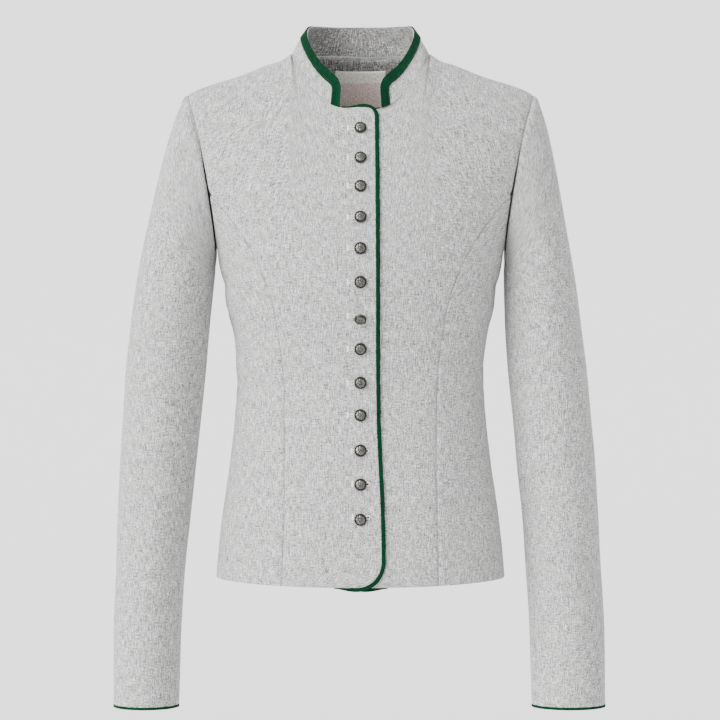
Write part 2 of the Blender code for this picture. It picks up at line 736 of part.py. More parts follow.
def main():
    for item in list(bpy.data.objects):
        bpy.data.objects.remove(item)
    collection = bpy.data.collections.new("stand_collar_jacket")
    bpy.context.scene.collection.children.link(collection)
    wool = make_material("grey_wool", (0.58, 0.58, 0.57), 0.95)
    felt = make_material("green_felt", (0.004, 0.045, 0.016), 0.95)
    woven = make_material("woven_label", (0.56, 0.48, 0.44), 0.8)
    pewter = make_material("old_pewter", (0.2, 0.19, 0.17), 0.4, 1.0)

    for word, side in (("right", -1), ("left", 1)):
        front_centre(f"front_{word}_centre", side, wool, collection)
        side_panel(f"front_{word}_side", FRONT, side, wool, collection)
        side_panel(f"back_{word}_side", BACK, side, wool, collection)
        upper, under = sleeve_turns()
        sleeve_panel(f"sleeve_{word}_upper", side, upper, wool, collection)
        sleeve_panel(f"sleeve_{word}_under", side, under, wool, collection)
        cuff_edging(f"edging_cuff_{word}", side, felt, collection)
        front_edging(f"edging_front_{word}", side, felt, collection)
    back_centre("back_centre", wool, collection)
    collar_stand("collar_stand", wool, collection)
    collar_band("collar_band", felt, collection)
    under_back = CLOTH + SEAM
    rows, meeting = panel_rows(BACK)
    back_patch("neck_facing", rows[meeting:-1], BACK_NECK_COLUMNS - 1, under_back, FACING_THICK, wool, collection)
    back_patch("label", LABEL_ROWS, LABEL_COLUMNS, under_back + FACING_THICK + SEAM, LABEL_THICK,
               woven, collection)
    place_buttons(pewter, collection)


main()
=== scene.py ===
"""Short stand-collar jacket of grey felted wool with green felt edging.

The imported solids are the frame. Every cloth piece here is drawn finer on the same
body, armhole and sleeve curves as its solid, in millimetres, and made in metres.
+X is the wearer's left, -Y the front and +Z up.
"""
import math

import bpy
import numpy as np
from mathutils import Matrix, Vector
from mathutils.bvhtree import BVHTree


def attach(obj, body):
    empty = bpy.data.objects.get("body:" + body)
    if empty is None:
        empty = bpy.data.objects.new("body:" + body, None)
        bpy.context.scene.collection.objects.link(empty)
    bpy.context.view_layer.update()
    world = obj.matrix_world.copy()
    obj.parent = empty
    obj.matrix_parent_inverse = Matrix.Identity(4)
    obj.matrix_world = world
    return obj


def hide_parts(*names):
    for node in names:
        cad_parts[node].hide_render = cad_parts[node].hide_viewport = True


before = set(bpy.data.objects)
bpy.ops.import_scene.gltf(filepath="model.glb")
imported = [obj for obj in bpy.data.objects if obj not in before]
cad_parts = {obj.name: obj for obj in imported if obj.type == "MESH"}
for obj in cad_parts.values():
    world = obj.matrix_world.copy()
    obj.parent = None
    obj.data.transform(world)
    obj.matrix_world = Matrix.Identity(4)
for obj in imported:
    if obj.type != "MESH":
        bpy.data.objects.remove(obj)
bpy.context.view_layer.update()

# Driving sizes, in millimetres, as the solids have them
MM = 0.001
CLOTH = 2.0
SEAM = 0.3
UNDERARM = -186.0
SHOULDER_TIP = -16.0
NECK_X = 72.0
ROUNDNESS = 2.3
FRONT, BACK = -1, 1
HEM_SIDE = -526.0
HEM_DIP = 5.0
SHOULDER_CURVE = {FRONT: 2.4, BACK: 2.8}
ARMHOLE_FULLNESS = 0.57

# The right front lies on the left one, flat for some way past the centre
LAP_TOP = 1.4
LAP_UNDER = -1.0
LAP_FLAT = 26.0
LAP_FADE = 34.0

# Front edge, its round corners and its felt edging
EDGE_CORNER = 26.0
NECK_CORNER = 9.0
NECK_EDGE = -35.0
EDGING_WIDTH = 4.2
EDGING_THICK = 2.4
EDGING_PROUD = 0.4
EDGING_START = 1.2
EDGING_STEP = 1.7
HEM_EDGING = 23.0
NECK_TAPER = 26.0
NECK_THIN = 0.42
HEM_TAPER = 20.0
HEM_THIN = 0.25

# Stand collar and its felt band
COLLAR_HEIGHT = 30.0
COLLAR_SWELL = 1.2
BAND_WIDTH = 11.0
BAND_THICK = 1.2
BAND_CORNER = 9.0
BAND_INNER_CORNER = 6.0
BAND_FOOT = 0.15

# Sleeves, their two seams in degrees round from the outer side, and the cuff
SLEEVE_TOP = -208.0
CUFF = -662.0
CUFF_EDGING = 3.0
SLEEVE_SEAMS = (155.0, 228.0)

# Facing and label inside the neck, by rows and columns of the back
FACING_THICK = 1.0
LABEL_THICK = 0.5
FACING_COLUMNS = 5
FACING_TOP = 1.98
LABEL_ROWS = (1.56, 1.885)
LABEL_COLUMNS = 2
PATCH_STEPS = (46, 34)

# Buttons, numbered from the neck down, and how far some have tipped, in degrees
BUTTON_SEAT = 0.5
BUTTON_REACH = 10.0
BUTTON_RADIUS = 6.5
BUTTON_HEIGHT = 4.5
BUTTON_LEVELS = (-57.3, -88.7, -118.5, -150.3, -182.4, -216.6, -253.7,
                 -285.1, -320.1, -353.9, -390.4, -425.3, -461.1)
BUTTON_TIPS = {7: 29.0, 13: 10.0}

# Buttonholes, from their outer end to the eyelet; some have risen or slid under their button
HOLE_START = -12.4
HOLE_STOP = 2.8
HOLE_EYE = 1.3
HOLE_HALF = 0.45
HOLE_WANDER = 0.25
HOLE_RISE = {7: 2.4, 12: 0.6, 13: 2.3}
HOLE_SLIDE = {11: 4.0, 12: 4.9, 13: 5.2}
EYE_OPENING = 125.0
STITCH_DEEP = 1.1
THREAD_LIFT = 0.12
BAR_HALF = 3.0
BAR_GAP = 0.4
BAR_LIFT = 0.2
SLIT_LIFT = 0.08
SLIT_SHIFT = 0.6
EYE_SHARE = 0.6
EYE_WIDENING = 0.6
LINE_STEPS, EYE_STEPS, BAR_STEPS, SLIT_STEPS = 24, 16, 9, 26

# How many columns of the solids lie within the neck, along the shoulder and up to the collar's end
FRONT_NECK_COLUMNS = 6
BACK_NECK_COLUMNS = 6
SHOULDER_COLUMNS = 4
COLLAR_END_COLUMN = 2

# How finely the cloth is drawn, and how its edges turn
NECK_SPLIT = 3
SHOULDER_SPLIT = 8
SIDE_STEPS = 24
LOW_STEPS = 80
CORNER_STEPS = 12
BREAST_STEPS = 17
SHOULDER_STEPS = 33
RIDGE_STEPS = 8
RIDGE_ROWS = 0.045
NEAR_EDGE = (0.25, 0.6, 1.1, 1.9, 2.9)
NEAR_SHARE = 0.8
TURNED_ROUND = 0.85
SEAM_DIP = 1.4
SEAM_REACH = 1.6
PUCKER_HEIGHT = 0.13
PUCKER_REACH = 7.0
CREASE_DEPTH = 1.6
CREASE_CORE = 0.35
CREASE_FADE = 0.85
STAND_FLAT = 26
STAND_FADE = 22
RAY_START = 0.05

# Rounds of the searches that find a level, a seam, an edge or a row
LEVEL_ROUNDS = 14
SEAM_ROUNDS = 12
EDGE_ROUNDS = 6
MEETING_ROUNDS = 30
LOOP_ROUNDS = 24

# Rounds of easing, and how far from the bend they reach
UNDERARM_EASE, UNDERARM_REACH = 60, 0.11
SLEEVE_EASE, SLEEVE_REACH = 40, 9.0
EDGING_EASE = 6


class Table:
    """Rows of sizes under named columns, read along a smooth curve."""

    def __init__(self, columns, rows):
        self.columns = columns.split()
        self.rows = np.array(sorted(rows), float)

    def at(self, place, column):
        steps = self.rows[:, 0]
        values = self.rows[:, self.columns.index(column)]
        slopes = np.gradient(values, steps)
        place = np.clip(place, steps[0], steps[-1])
        low = np.clip(np.searchsorted(steps, place) - 1, 0, len(steps) - 2)
        span = steps[low + 1] - steps[low]
        t = (place - steps[low]) / span
        start = values[low] * (1 + 2 * t) + slopes[low] * span * t
        stop = values[low + 1] * (3 - 2 * t) - slopes[low + 1] * span * (1 - t)
        return start * (1 - t) ** 2 + stop * t ** 2


# The body's section at each level: its half width and its depth to the front and back
BODY = Table("level half_width front back", (
    (-531, 153.0, 106, 110),
    (-513, 151.6, 105, 109),
    (-462, 146.3, 101, 104),
    (-411, 138.9, 97, 97),
    (-360, 133.0, 93, 90),
    (-322, 130.4, 92, 86),
    (-284, 132.4, 98, 90),
    (-259, 136.2, 104, 95),
    (-233, 142.0, 109, 99),
    (-208, 147.6, 112, 102),
    (-186, 151.8, 112, 104),
    (-120, 151.8, 103, 106),
    (-60, 151.8, 92, 104),
    (0, 151.8, 84, 92),
    (30, 151.8, 81, 86),
    (72, 151.8, 80, 80)))

# The armhole's edge, the shoulder's ridge and the neckline
ARMHOLE = Table("level out", (
    (-186, 151.8), (-166, 152.8), (-138, 156.5), (-95, 164.0), (-60, 171.0),
    (-38, 177.0), (-16, 183.0), (30, 190.0), (80, 194.0)))

RIDGE = Table("out front back", (
    (0, 40, 72), (20, 39.5, 69), (40, 37, 58), (60, 32, 40), (72, 28, 28),
    (82, 21, 21), (100, 15, 15), (116, 8.5, 8.5), (133, 2, 2), (153, -4, -4),
    (172, -10.6, -10.6), (183, -16, -16), (205, -27, -27)))

NECKLINE = Table("out front back", (
    (0, -35, 30), (23, -35, 30.1), (34, -30, 30.2), (45, -20, 30.1),
    (56, -5, 29.8), (64, 9, 29.2), (69, 19.5, 28.6), (72, 28, 28)))

# The princess seams, and how far the right front reaches past the centre
PRINCESS = {
    FRONT: Table("level out", (
        (-531, 81.0), (-506, 80.6), (-421, 79.0), (-354, 79.5), (-303, 81.2),
        (-269, 85.8), (-233, 92.5), (-209, 100.5), (-190, 108.0), (-170, 120.0),
        (-150, 136.0), (-135, 149.0), (-122, 161.0), (-90, 195.0))),
    BACK: Table("level out", (
        (-531, 74.0), (-421, 65.0), (-322, 59.0), (-250, 64.0), (-209, 74.0),
        (-186, 84.0), (-165, 97.0), (-145, 113.0), (-125, 134.0),
        (-105, 163.0), (-75, 200.0)))}

FRONT_EDGE = Table("level past_centre", (
    (-531, 22.0), (-480, 21.6), (-445, 20.6), (-412, 19.0), (-372, 17.2),
    (-320, 16.3), (-230, 16.0), (-120, 15.6), (-36, 14.9)))

# The collar's top edge by degrees round from the centre back
COLLAR_TOP = Table("turn out back up", (
    (0, 0, 62, 62), (30, 27, 57, 61.5), (60, 46, 37, 60), (85, 55, 8, 56),
    (105, 56, -14, 45), (125, 50, -33, 28), (143, 38, -49, 10),
    (155, 26, -59, -1), (163, 19, -64, -8)))

# Each sleeve's section at each level, and the pull on its cap's curve at both ends
SLEEVE = {
    -1: Table("level outer inner front back", (
        (-662, 260.2, 191.3, -58, 26), (-564, 260.2, 188.2, -55, 34),
        (-513, 258.1, 185.0, -53, 40), (-462, 257.0, 179.7, -52, 46),
        (-411, 254.9, 174.4, -52, 51), (-360, 251.8, 169.0, -53, 55),
        (-310, 248.6, 163.8, -55, 57), (-259, 243.3, 159.5, -57, 59),
        (-208, 236.9, 154.2, -58, 60))),
    1: Table("level outer inner front back", (
        (-662, 258.1, 180.7, -58, 26), (-564, 257.0, 177.6, -55, 34),
        (-513, 253.9, 174.4, -53, 40), (-462, 251.8, 171.2, -52, 46),
        (-411, 248.6, 165.9, -52, 51), (-360, 244.3, 161.6, -53, 55),
        (-310, 240.0, 156.4, -55, 57), (-259, 233.7, 153.0, -57, 59),
        (-208, 227.5, 151.8, -58, 60)))}

CAP_PULL = {
    "start": {"top": (55, 0, -60), "side": (42, -20, -62), "foot": (6, 0, -22)},
    "end": {"top": (40, 0, -190), "side": (22, -5, -125), "foot": (2, 0, -22)}}

# Soft creases: middle, slant in degrees, length, half width, sag and height (minus is a trough)
CREASE_COLUMNS = "out level slant length width sag height"
CREASES = {
    FRONT: Table(CREASE_COLUMNS, (
        (-141, -214, 38, 62, 8, 3, -1.1), (-128, -231, 30, 74, 10, -4, 0.9),
        (-120, -262, 14, 58, 9, 3, -0.8), (-108, -305, 4, 66, 11, 4, 0.9),
        (-98, -331, -5, 82, 10, -5, -1.0), (-114, -352, -12, 50, 9, 3, 0.6),
        (-60, -322, 3, 58, 12, 3, -0.5), (-126, -118, 66, 70, 10, 6, -0.9),
        (-104, -96, 58, 84, 13, -7, 0.7), (-96, -452, 76, 90, 14, 5, -0.7),
        (-49, -468, 84, 108, 16, -4, 0.7), (52, -330, -6, 62, 11, 4, -0.6),
        (66, -455, 82, 96, 15, 5, 0.6), (92, -318, 2, 70, 10, -4, 0.9),
        (104, -338, 9, 64, 9, 4, -1.0), (116, -296, -10, 52, 10, 3, -0.7),
        (110, -440, 78, 84, 13, -4, -0.8), (122, -104, -62, 78, 12, 6, -0.9),
        (131, -244, -26, 70, 9, -4, 0.9), (143, -219, -41, 56, 8, 3, -1.1))),
    BACK: Table(CREASE_COLUMNS, (
        (-142, -216, 34, 60, 9, 3, -1.2), (-126, -246, 22, 72, 10, -4, 1.0),
        (-104, -300, 8, 70, 10, 4, -1.2), (-94, -330, -4, 86, 11, -5, 1.2),
        (-88, -356, -10, 62, 9, 4, -0.9), (-52, -312, 5, 74, 9, 5, -1.3),
        (-36, -336, 1, 88, 11, -4, 1.1), (-118, -92, 60, 96, 14, 8, -1.0),
        (-62, -60, 18, 80, 15, 6, 0.7), (-70, -440, 80, 110, 16, 5, 0.8),
        (18, -322, -3, 92, 10, 5, -1.2), (34, -348, 4, 76, 10, -4, 0.9),
        (60, -296, -8, 68, 10, 4, 0.9), (74, -54, -20, 84, 14, 6, -0.7),
        (84, -446, -79, 96, 15, -5, -0.8), (98, -334, 6, 74, 10, -4, 1.1),
        (108, -308, -6, 66, 9, 4, -1.2), (114, -98, -57, 92, 13, 8, -1.0),
        (129, -238, -24, 68, 10, -4, 1.0), (143, -212, -36, 56, 8, 3, -1.1)))}

# The same on each sleeve, placed by millimetres round it from the top seam line
SLEEVE_CREASES = {
    -1: Table(CREASE_COLUMNS, (
        (-84, -186, -52, 76, 10, 5, -1.4), (-66, -222, -44, 84, 12, -6, 1.1),
        (-78, -392, -12, 70, 9, 5, -1.5), (-62, -418, 6, 84, 10, -5, 1.3),
        (-70, -446, 14, 62, 9, 4, -1.1), (-30, -330, 78, 150, 14, 8, -0.9),
        (-20, -540, 84, 150, 13, -6, 0.9), (28, -262, 82, 130, 14, 6, 0.8),
        (44, -470, 80, 160, 13, -8, -1.0), (60, -196, 50, 84, 11, 6, -1.3),
        (72, -410, 10, 84, 10, 5, -1.5), (82, -380, -8, 76, 9, -5, 1.2),
        (66, -438, 18, 66, 9, 4, 1.0), (96, -520, 72, 110, 12, 6, -1.0),
        (-92, -560, 76, 110, 12, -5, -0.9))),
    1: Table(CREASE_COLUMNS, (
        (-88, -192, -48, 80, 11, 5, -1.3), (-70, -230, -40, 78, 12, -5, 1.1),
        (-70, -404, -8, 78, 10, 5, -1.4), (-64, -432, 9, 70, 9, -5, 1.2),
        (-36, -300, 80, 140, 14, 8, -0.9), (-24, -566, 82, 130, 13, -6, 0.8),
        (22, -356, 84, 150, 14, 6, 0.9), (40, -500, 78, 140, 13, -8, -1.0),
        (56, -204, 54, 90, 11, 6, -1.3), (70, -424, 6, 80, 10, 5, -1.5),
        (80, -396, -10, 72, 9, -5, 1.2), (74, -454, 16, 60, 9, 4, -0.9),
        (98, -548, 74, 100, 12, 6, -1.0), (-90, -520, 78, 120, 12, -5, -0.9)))}


# Shape of the body, its armholes and its necklines
def power(value, exponent):
    """A power that keeps the sign."""
    return np.sign(value) * np.abs(value) ** exponent


def smooth_step(value):
    t = np.clip(value, 0.0, 1.0)
    return t * t * (3 - 2 * t)


def unit(vectors):
    """The same directions with a length of 1."""
    return vectors / np.maximum(np.linalg.norm(vectors, axis=-1, keepdims=True), 1e-12)


def side_name(face):
    return "front" if face == FRONT else "back"


def fullness(level):
    """How far round the armhole's edge lies, as a share of the body's depth."""
    fall = np.clip((SHOULDER_TIP - level) / (SHOULDER_TIP - UNDERARM), 0.0, 1.0)
    return ARMHOLE_FULLNESS * np.sqrt(1 - fall ** 3)


def body_width(level):
    """Half width of the ring that the level's section belongs to."""
    edge = np.maximum(1 - fullness(level) ** ROUNDNESS, 0.05)
    above = ARMHOLE.at(level, "out") / edge ** (1 / ROUNDNESS)
    return np.where(level > UNDERARM, above, BODY.at(level, "half_width"))


def armhole_turn(level):
    share = np.clip(ARMHOLE.at(level, "out") / body_width(level), 0.0, 1.0)
    turn = np.arcsin(share ** (ROUNDNESS / 2))
    return np.where(level > UNDERARM, turn, math.pi / 2)


def across_at(level, out):
    """Share of the way from the centre to the side for a point that far out."""
    share = np.clip(np.abs(out) / body_width(level), 0.0, 1.0)
    return np.sign(out) * np.arcsin(share ** (ROUNDNESS / 2)) / armhole_turn(level)


def top_level(face, out):
    """Top edge of the body: the neckline inside the neck point, else the ridge."""
    column = side_name(face)
    out = np.abs(out)
    return np.where(out < NECK_X, NECKLINE.at(out, column), RIDGE.at(out, column))


def body_point(face, across, row):
    """Point of the body's outer face. Row 0 is the hem, 1 the underarm, 2 the top."""
    across, row = np.broadcast_arrays(np.asarray(across, float), np.asarray(row, float))
    column = side_name(face)
    curve = SHOULDER_CURVE[face]
    low = np.clip(row, 0.0, 1.0)
    high = np.clip(row - 1.0, 0.0, 1.0)
    dip = HEM_DIP * np.cos(np.clip(across, -1, 1) * math.pi / 2) ** 2 if face == FRONT else 0.0
    hem = HEM_SIDE - dip
    level = hem + (UNDERARM - hem) * low
    for _ in range(LEVEL_ROUNDS):
        out = body_width(level) * power(np.sin(across * armhole_turn(level)), 2 / ROUNDNESS)
        ridge = RIDGE.at(np.abs(out), column)
        top = top_level(face, out)
        reach = np.clip((ridge - top) / (ridge - UNDERARM), 0.0, 1.0)
        turn_top = np.arccos((1 - reach) ** (curve / 2))
        turn = turn_top + (math.pi / 2 - turn_top) * (1 - high)
        lifted = ridge - (1 - np.cos(turn) ** (2 / curve)) * (ridge - UNDERARM)
        level = np.where(row > 1.0, lifted, level)
    swell = np.where(row > 1.0, np.sin(turn) ** (2 / curve), 1.0)
    depth = BODY.at(level, column) * power(np.cos(across * armhole_turn(level)), 2 / ROUNDNESS)
    return np.stack([out, face * depth * swell, level], axis=-1)


def body_normal(face, across, row):
    step = 0.004
    across, row = np.broadcast_arrays(np.asarray(across, float), np.asarray(row, float))
    along = body_point(face, across + step, row) - body_point(face, across - step, row)
    up = (body_point(face, across, np.minimum(row + step, 2.0))
          - body_point(face, across, np.maximum(row - step, 0.0)))
    return unit(np.cross(along, up) * -face)


def surface_depth(face, out, level):
    """The body's y for a place given by how far out and how high it lies."""
    column = side_name(face)
    curve = SHOULDER_CURVE[face]
    ridge = RIDGE.at(np.abs(out), column)
    reach = np.clip((ridge - level) / (ridge - UNDERARM), 0.0, 1.0)
    swell = (1 - (1 - reach) ** curve) ** (1 / curve)
    share = np.clip(np.abs(out) / body_width(level), 0.0, 1.0)
    return face * BODY.at(level, column) * (1 - share ** ROUNDNESS) ** (1 / ROUNDNESS) * swell


def lap_offset(side, out):
    """The wearer's right front lies on the left one; both level out further round."""
    height = LAP_TOP if side < 0 else LAP_UNDER
    return height * (1 - smooth_step((out - LAP_FLAT) / LAP_FADE))


def seam_across(face, row):
    """Where the princess seam crosses each row, 1 where it has reached the armhole."""
    across = np.full(np.shape(row), 0.6)
    for _ in range(SEAM_ROUNDS):
        level = body_point(face, across, row)[..., 2]
        across = np.minimum(across_at(level, PRINCESS[face].at(level, "out")), 1.0)
    return across


def meeting_row(face):
    """Row at which the princess seam runs into the armhole."""
    low, high = 1.0, 1.9
    for _ in range(MEETING_ROUNDS):
        middle = (low + high) / 2
        level = body_point(face, 1.0, middle)[..., 2]
        if PRINCESS[face].at(level, "out") < ARMHOLE.at(level, "out"):
            low = middle
        else:
            high = middle
    return low


def neck_across():
    level = float(RIDGE.at(NECK_X, "front"))
    return float(across_at(level, NECK_X))


def edge_out(level, hem):
    """How far the wool reaches past the centre, with round corners at hem and neck."""
    reach = FRONT_EDGE.at(level, "past_centre")
    into_hem = np.clip((hem + EDGE_CORNER - level) / EDGE_CORNER, 0.0, 1.0)
    into_neck = np.clip((level - NECK_EDGE + NECK_CORNER) / NECK_CORNER, 0.0, 1.0)
    reach = reach - EDGE_CORNER * (1 - np.sqrt(1 - into_hem ** 2))
    return reach - NECK_CORNER * (1 - np.sqrt(1 - into_neck ** 2))


def edge_across(row):
    """The front edge as an across value for each row, negative past the centre."""
    hem = HEM_SIDE - HEM_DIP
    across = np.full(np.shape(row), -0.08)
    for _ in range(EDGE_ROUNDS):
        level = body_point(FRONT, across, row)[..., 2]
        across = across_at(level, -edge_out(level, hem))
    return across


def front_place(out, level, lift=0.0):
    """A place on the outside of the wearer's right front, and the way it faces."""
    def place(x, z):
        return np.stack([x, surface_depth(FRONT, x, z), z], axis=-1)

    out, level = np.broadcast_arrays(np.asarray(out, float), np.asarray(level, float))
    step = 2.0
    along = place(out + step, level) - place(out - step, level)
    up = place(out, level + step) - place(out, level - step)
    normal = unit(np.cross(along, up))
    height = lap_offset(-1, -out) + lift
    return place(out, level) + normal * height[..., None], normal


def cloth_tree(piece):
    mesh = piece.data
    return BVHTree.FromPolygons([v.co for v in mesh.vertices], [f.vertices for f in mesh.polygons])


def on_front(cloth, out, level, lift=0.0):
    """Places laid on the made cloth of the wearer's right front, and the ways they face."""
    points, normals = front_place(out, level)
    flat = points.reshape(-1, 3)
    for point in flat:
        start = Vector((point[0] * MM, point[1] * MM - RAY_START, point[2] * MM))
        hit = cloth.ray_cast(start, Vector((0.0, 1.0, 0.0)))[0]
        if hit:
            point[1] = hit.y / MM
    return flat.reshape(points.shape) + normals * lift, normals


# Creases, seams and edges of the cloth
def crease_height(table, out, level):
    """Sum of the soft creases near each place, in millimetres."""
    out, level = np.broadcast_arrays(out, level)
    total = np.zeros(out.shape)
    for middle, height_at, slant, length, width, sag, height in table.rows:
        angle = math.radians(slant)
        away, up = out - middle, level - height_at
        along = (away * math.cos(angle) + up * math.sin(angle)) / (length / 2)
        beside = -away * math.sin(angle) + up * math.cos(angle) - sag * along ** 2
        fade = 1 - smooth_step((np.abs(along) - CREASE_CORE) / CREASE_FADE)
        total += height * np.exp(-(beside / width) ** 2) * fade
    return CREASE_DEPTH * total


def body_creases(face, side, points):
    """Creases of the body; the button stand down the centre front stays flat."""
    out = points[..., 0] * side
    clear = smooth_step((np.abs(out) - STAND_FLAT) / STAND_FADE) if face == FRONT else 1.0
    return crease_height(CREASES[face], out, points[..., 2]) * clear


def seam_pucker(distance, length, phase):
    """Small uneven waves where the sewing draws the cloth in."""
    wave = np.sin(length / 5.3 + phase) + 0.7 * np.sin(length / 8.9 + 2.1 * phase + 1.3)
    return PUCKER_HEIGHT * wave * np.exp(-(distance / PUCKER_REACH) ** 2)


def turned_edge(distance, radius=TURNED_ROUND):
    """How far the face falls back beside a turned edge, so that the edge is round."""
    into = np.clip(1 - distance / radius, 0.0, 1.0)
    return radius * (1 - np.sqrt(1 - into ** 2))


def sewn_edge(distance):
    """How far the face falls into a seam beside it."""
    return SEAM_DIP * np.exp(-(distance / SEAM_REACH) ** 1.6)


def draw_back(points, normals, beside, amount=SEAM / 2):
    """Draw a sewn edge back from its seam line, square to it and towards the cloth."""
    away = unit(np.cross(np.gradient(points, axis=0), normals))
    away *= np.sign(np.sum(away * (beside - points), axis=-1, keepdims=True))
    return points + away * amount


def row_widths(point_at, start, stop, rows):
    """Length of each row of a panel between two across values."""
    shares = np.linspace(0.0, 1.0, 11)
    points = point_at(start[:, None] + (stop - start)[:, None] * shares, rows[:, None])
    return np.linalg.norm(np.diff(points, axis=1), axis=-1).sum(axis=1)


def close_to_edges(widths, steps):
    """Shares across each row: the even steps, and more beside both edges."""
    near = np.array(NEAR_EDGE)[None, :] / widths[:, None]
    first, last = steps[1] - steps[0], steps[-1] - steps[-2]
    reach = NEAR_EDGE[-1] / widths[:, None]
    start = near * np.minimum(1.0, NEAR_SHARE * first / reach)
    stop = 1 - near[:, ::-1] * np.minimum(1.0, NEAR_SHARE * last / reach)
    ends = np.zeros((len(widths), 1)), np.ones((len(widths), 1))
    inside = np.broadcast_to(steps[1:-1], (len(widths), len(steps) - 2))
    return np.concatenate([ends[0], start, inside, stop, ends[1]], axis=1)


def panel_rows(face):
    """Rows that all panels of a face share, and the place of the seam's meeting row."""
    length = UNDERARM - HEM_SIDE + HEM_DIP
    turns = np.linspace(0.0, math.pi / 2, CORNER_STEPS + 1)
    low = EDGE_CORNER * (1 - np.cos(turns)) / length
    straight = np.linspace(EDGE_CORNER / length, 1.0, LOW_STEPS + 1)[1:]
    meet = meeting_row(face)
    middle = np.linspace(1.0, meet, BREAST_STEPS + 1)[1:]
    high = np.linspace(meet, 2.0 - RIDGE_ROWS, SHOULDER_STEPS + 1)[1:]
    corner = 2.0 - RIDGE_ROWS * (1 - np.sin(np.linspace(0.0, math.pi / 2, RIDGE_STEPS + 1)[1:]))
    rows = np.concatenate([low, straight, middle, high, corner])
    return rows, len(low) + len(straight) + len(middle) - 1


def ease(grid, rounds, weight=1.0):
    """Draw each row of points half way towards the middle of its neighbours, again and again."""
    for _ in range(rounds):
        grid[1:-1] += ((grid[:-2] + grid[2:]) / 2 - grid[1:-1]) * weight * 0.5
    return grid


def ease_underarm(grid, rows):
    """Ease the bend where the armhole starts, along every column alike."""
    weight = np.exp(-((rows - 1.0) / UNDERARM_REACH) ** 2)[1:-1, None, None]
    return ease(grid, UNDERARM_EASE, weight)


def edge_distances(points):
    """Distance of every point from its row's two ends, measured along the row."""
    steps = np.linalg.norm(np.diff(points, axis=1), axis=-1)
    along = np.concatenate([np.zeros((len(points), 1)), np.cumsum(steps, axis=1)], axis=1)
    return along, along[:, -1:] - along


def column_lengths(points):
    """Distance of every point from its column's first one, measured along the column."""
    steps = np.linalg.norm(np.diff(points, axis=0), axis=-1)
    return np.concatenate([np.zeros((1, points.shape[1])), np.cumsum(steps, axis=0)], axis=0)


# Meshes; the two faces of a wall and the turns of a strip read other parts of the pattern
INSIDE_SHIFT = 7.3
STRIP_ROUND = 9.0
PANEL_SHIFT = 97.0
SLEEVE_SHIFT = 211.0
COLLAR_SHIFT = 530.0
BAND_SHIFT = 40
PATCH_SHIFT = 900.0


def mirror(points, side):
    """The wearer's right side is the left one with its x turned round."""
    return points * np.array([side, 1.0, 1.0])


def make_object(name, vertices, faces, material, uv=None):
    """A smooth mesh from places in millimetres, with its pattern's places as its uv."""
    mesh = bpy.data.meshes.new(name)
    mesh.from_pydata([tuple(point) for point in np.asarray(vertices) * MM], [], faces)
    mesh.materials.append(material)
    if uv is not None:
        layer = mesh.uv_layers.new(name="cloth")
        corners = np.zeros(len(mesh.loops), dtype=np.int32)
        mesh.loops.foreach_get("vertex_index", corners)
        layer.data.foreach_set("uv", (np.asarray(uv)[corners] * MM).ravel())
    mesh.shade_smooth()
    mesh.update()
    item = bpy.data.objects.new(name, mesh)
    bpy.context.scene.collection.objects.link(item)
    return item


def wall_faces(rows, columns):
    """Faces of a wall whose outer grid comes first, then the inner one."""
    count = rows * columns
    r, c = np.meshgrid(np.arange(rows - 1), np.arange(columns - 1), indexing="ij")
    a = (r * columns + c).ravel()
    outer = np.stack([a, a + 1, a + columns + 1, a + columns], axis=1)
    inner = outer[:, ::-1] + count
    low = np.arange(columns - 1)
    foot = np.stack([low + 1, low, low + count, low + 1 + count], axis=1)
    high = low + (rows - 1) * columns
    top = np.stack([high, high + 1, high + 1 + count, high + count], axis=1)
    left = np.arange(rows - 1) * columns
    start = np.stack([left, left + columns, left + columns + count, left + count], axis=1)
    right = left + columns - 1
    stop = np.stack([right + columns, right, right + count, right + columns + count], axis=1)
    return np.concatenate([outer, inner, foot, top, start, stop])


def finish(piece, slot, *nodes):
    """Every piece rides on the jacket and stands for its solids; its slot is not used."""
    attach(piece, "root")
    if nodes:
        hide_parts(*nodes)
    return piece


def places_at(across, along):
    """Pairs of how far across and how far along each place lies."""
    return np.stack(np.broadcast_arrays(across, along), axis=-1)


def make_wall(name, outer, normals, material, uv, thickness=CLOTH, dips=0.0, rises=0.0, flip=False):
    """A closed wall of cloth; its faces fall in by dips outside and by rises inside."""
    rows, columns = outer.shape[:2]
    dips = np.broadcast_to(dips, (rows, columns))[..., None]
    rises = np.broadcast_to(rises, (rows, columns))[..., None]
    face = outer - normals * dips
    inner = outer - normals * (thickness - rises)
    vertices = np.concatenate([face.reshape(-1, 3), inner.reshape(-1, 3)])
    faces = wall_faces(rows, columns)
    if flip:
        faces = faces[:, ::-1]
    both = np.concatenate([uv.reshape(-1, 2), uv.reshape(-1, 2) + INSIDE_SHIFT])
    return make_object(name, vertices, faces.tolist(), material, both)


def make_strip(node, sections, side, turned, material, closed):
    """A felt strip from its sections one after the other, closed or with capped ends."""
    sections = mirror(np.array(sections), side)
    if turned:
        sections = sections[:, ::-1]
    count, sides = sections.shape[:2]
    faces = []
    for k in range(count if closed else count - 1):
        ahead = (k + 1) % count
        for s in range(sides):
            turn = (s + 1) % sides
            faces.append((k * sides + s, k * sides + turn, ahead * sides + turn, ahead * sides + s))
    if not closed:
        faces.append(tuple(range(sides))[::-1])
        faces.append(tuple((count - 1) * sides + s for s in range(sides)))
    along = column_lengths(sections.mean(axis=1)[:, None])
    uv = places_at(np.linspace(0.0, STRIP_ROUND, sides)[None, :], along)
    name = node.replace("edging", "felt")
    piece = make_object(name, sections.reshape(-1, 3), faces, material, uv.reshape(-1, 2))
    finish(piece, "green_felt", node)


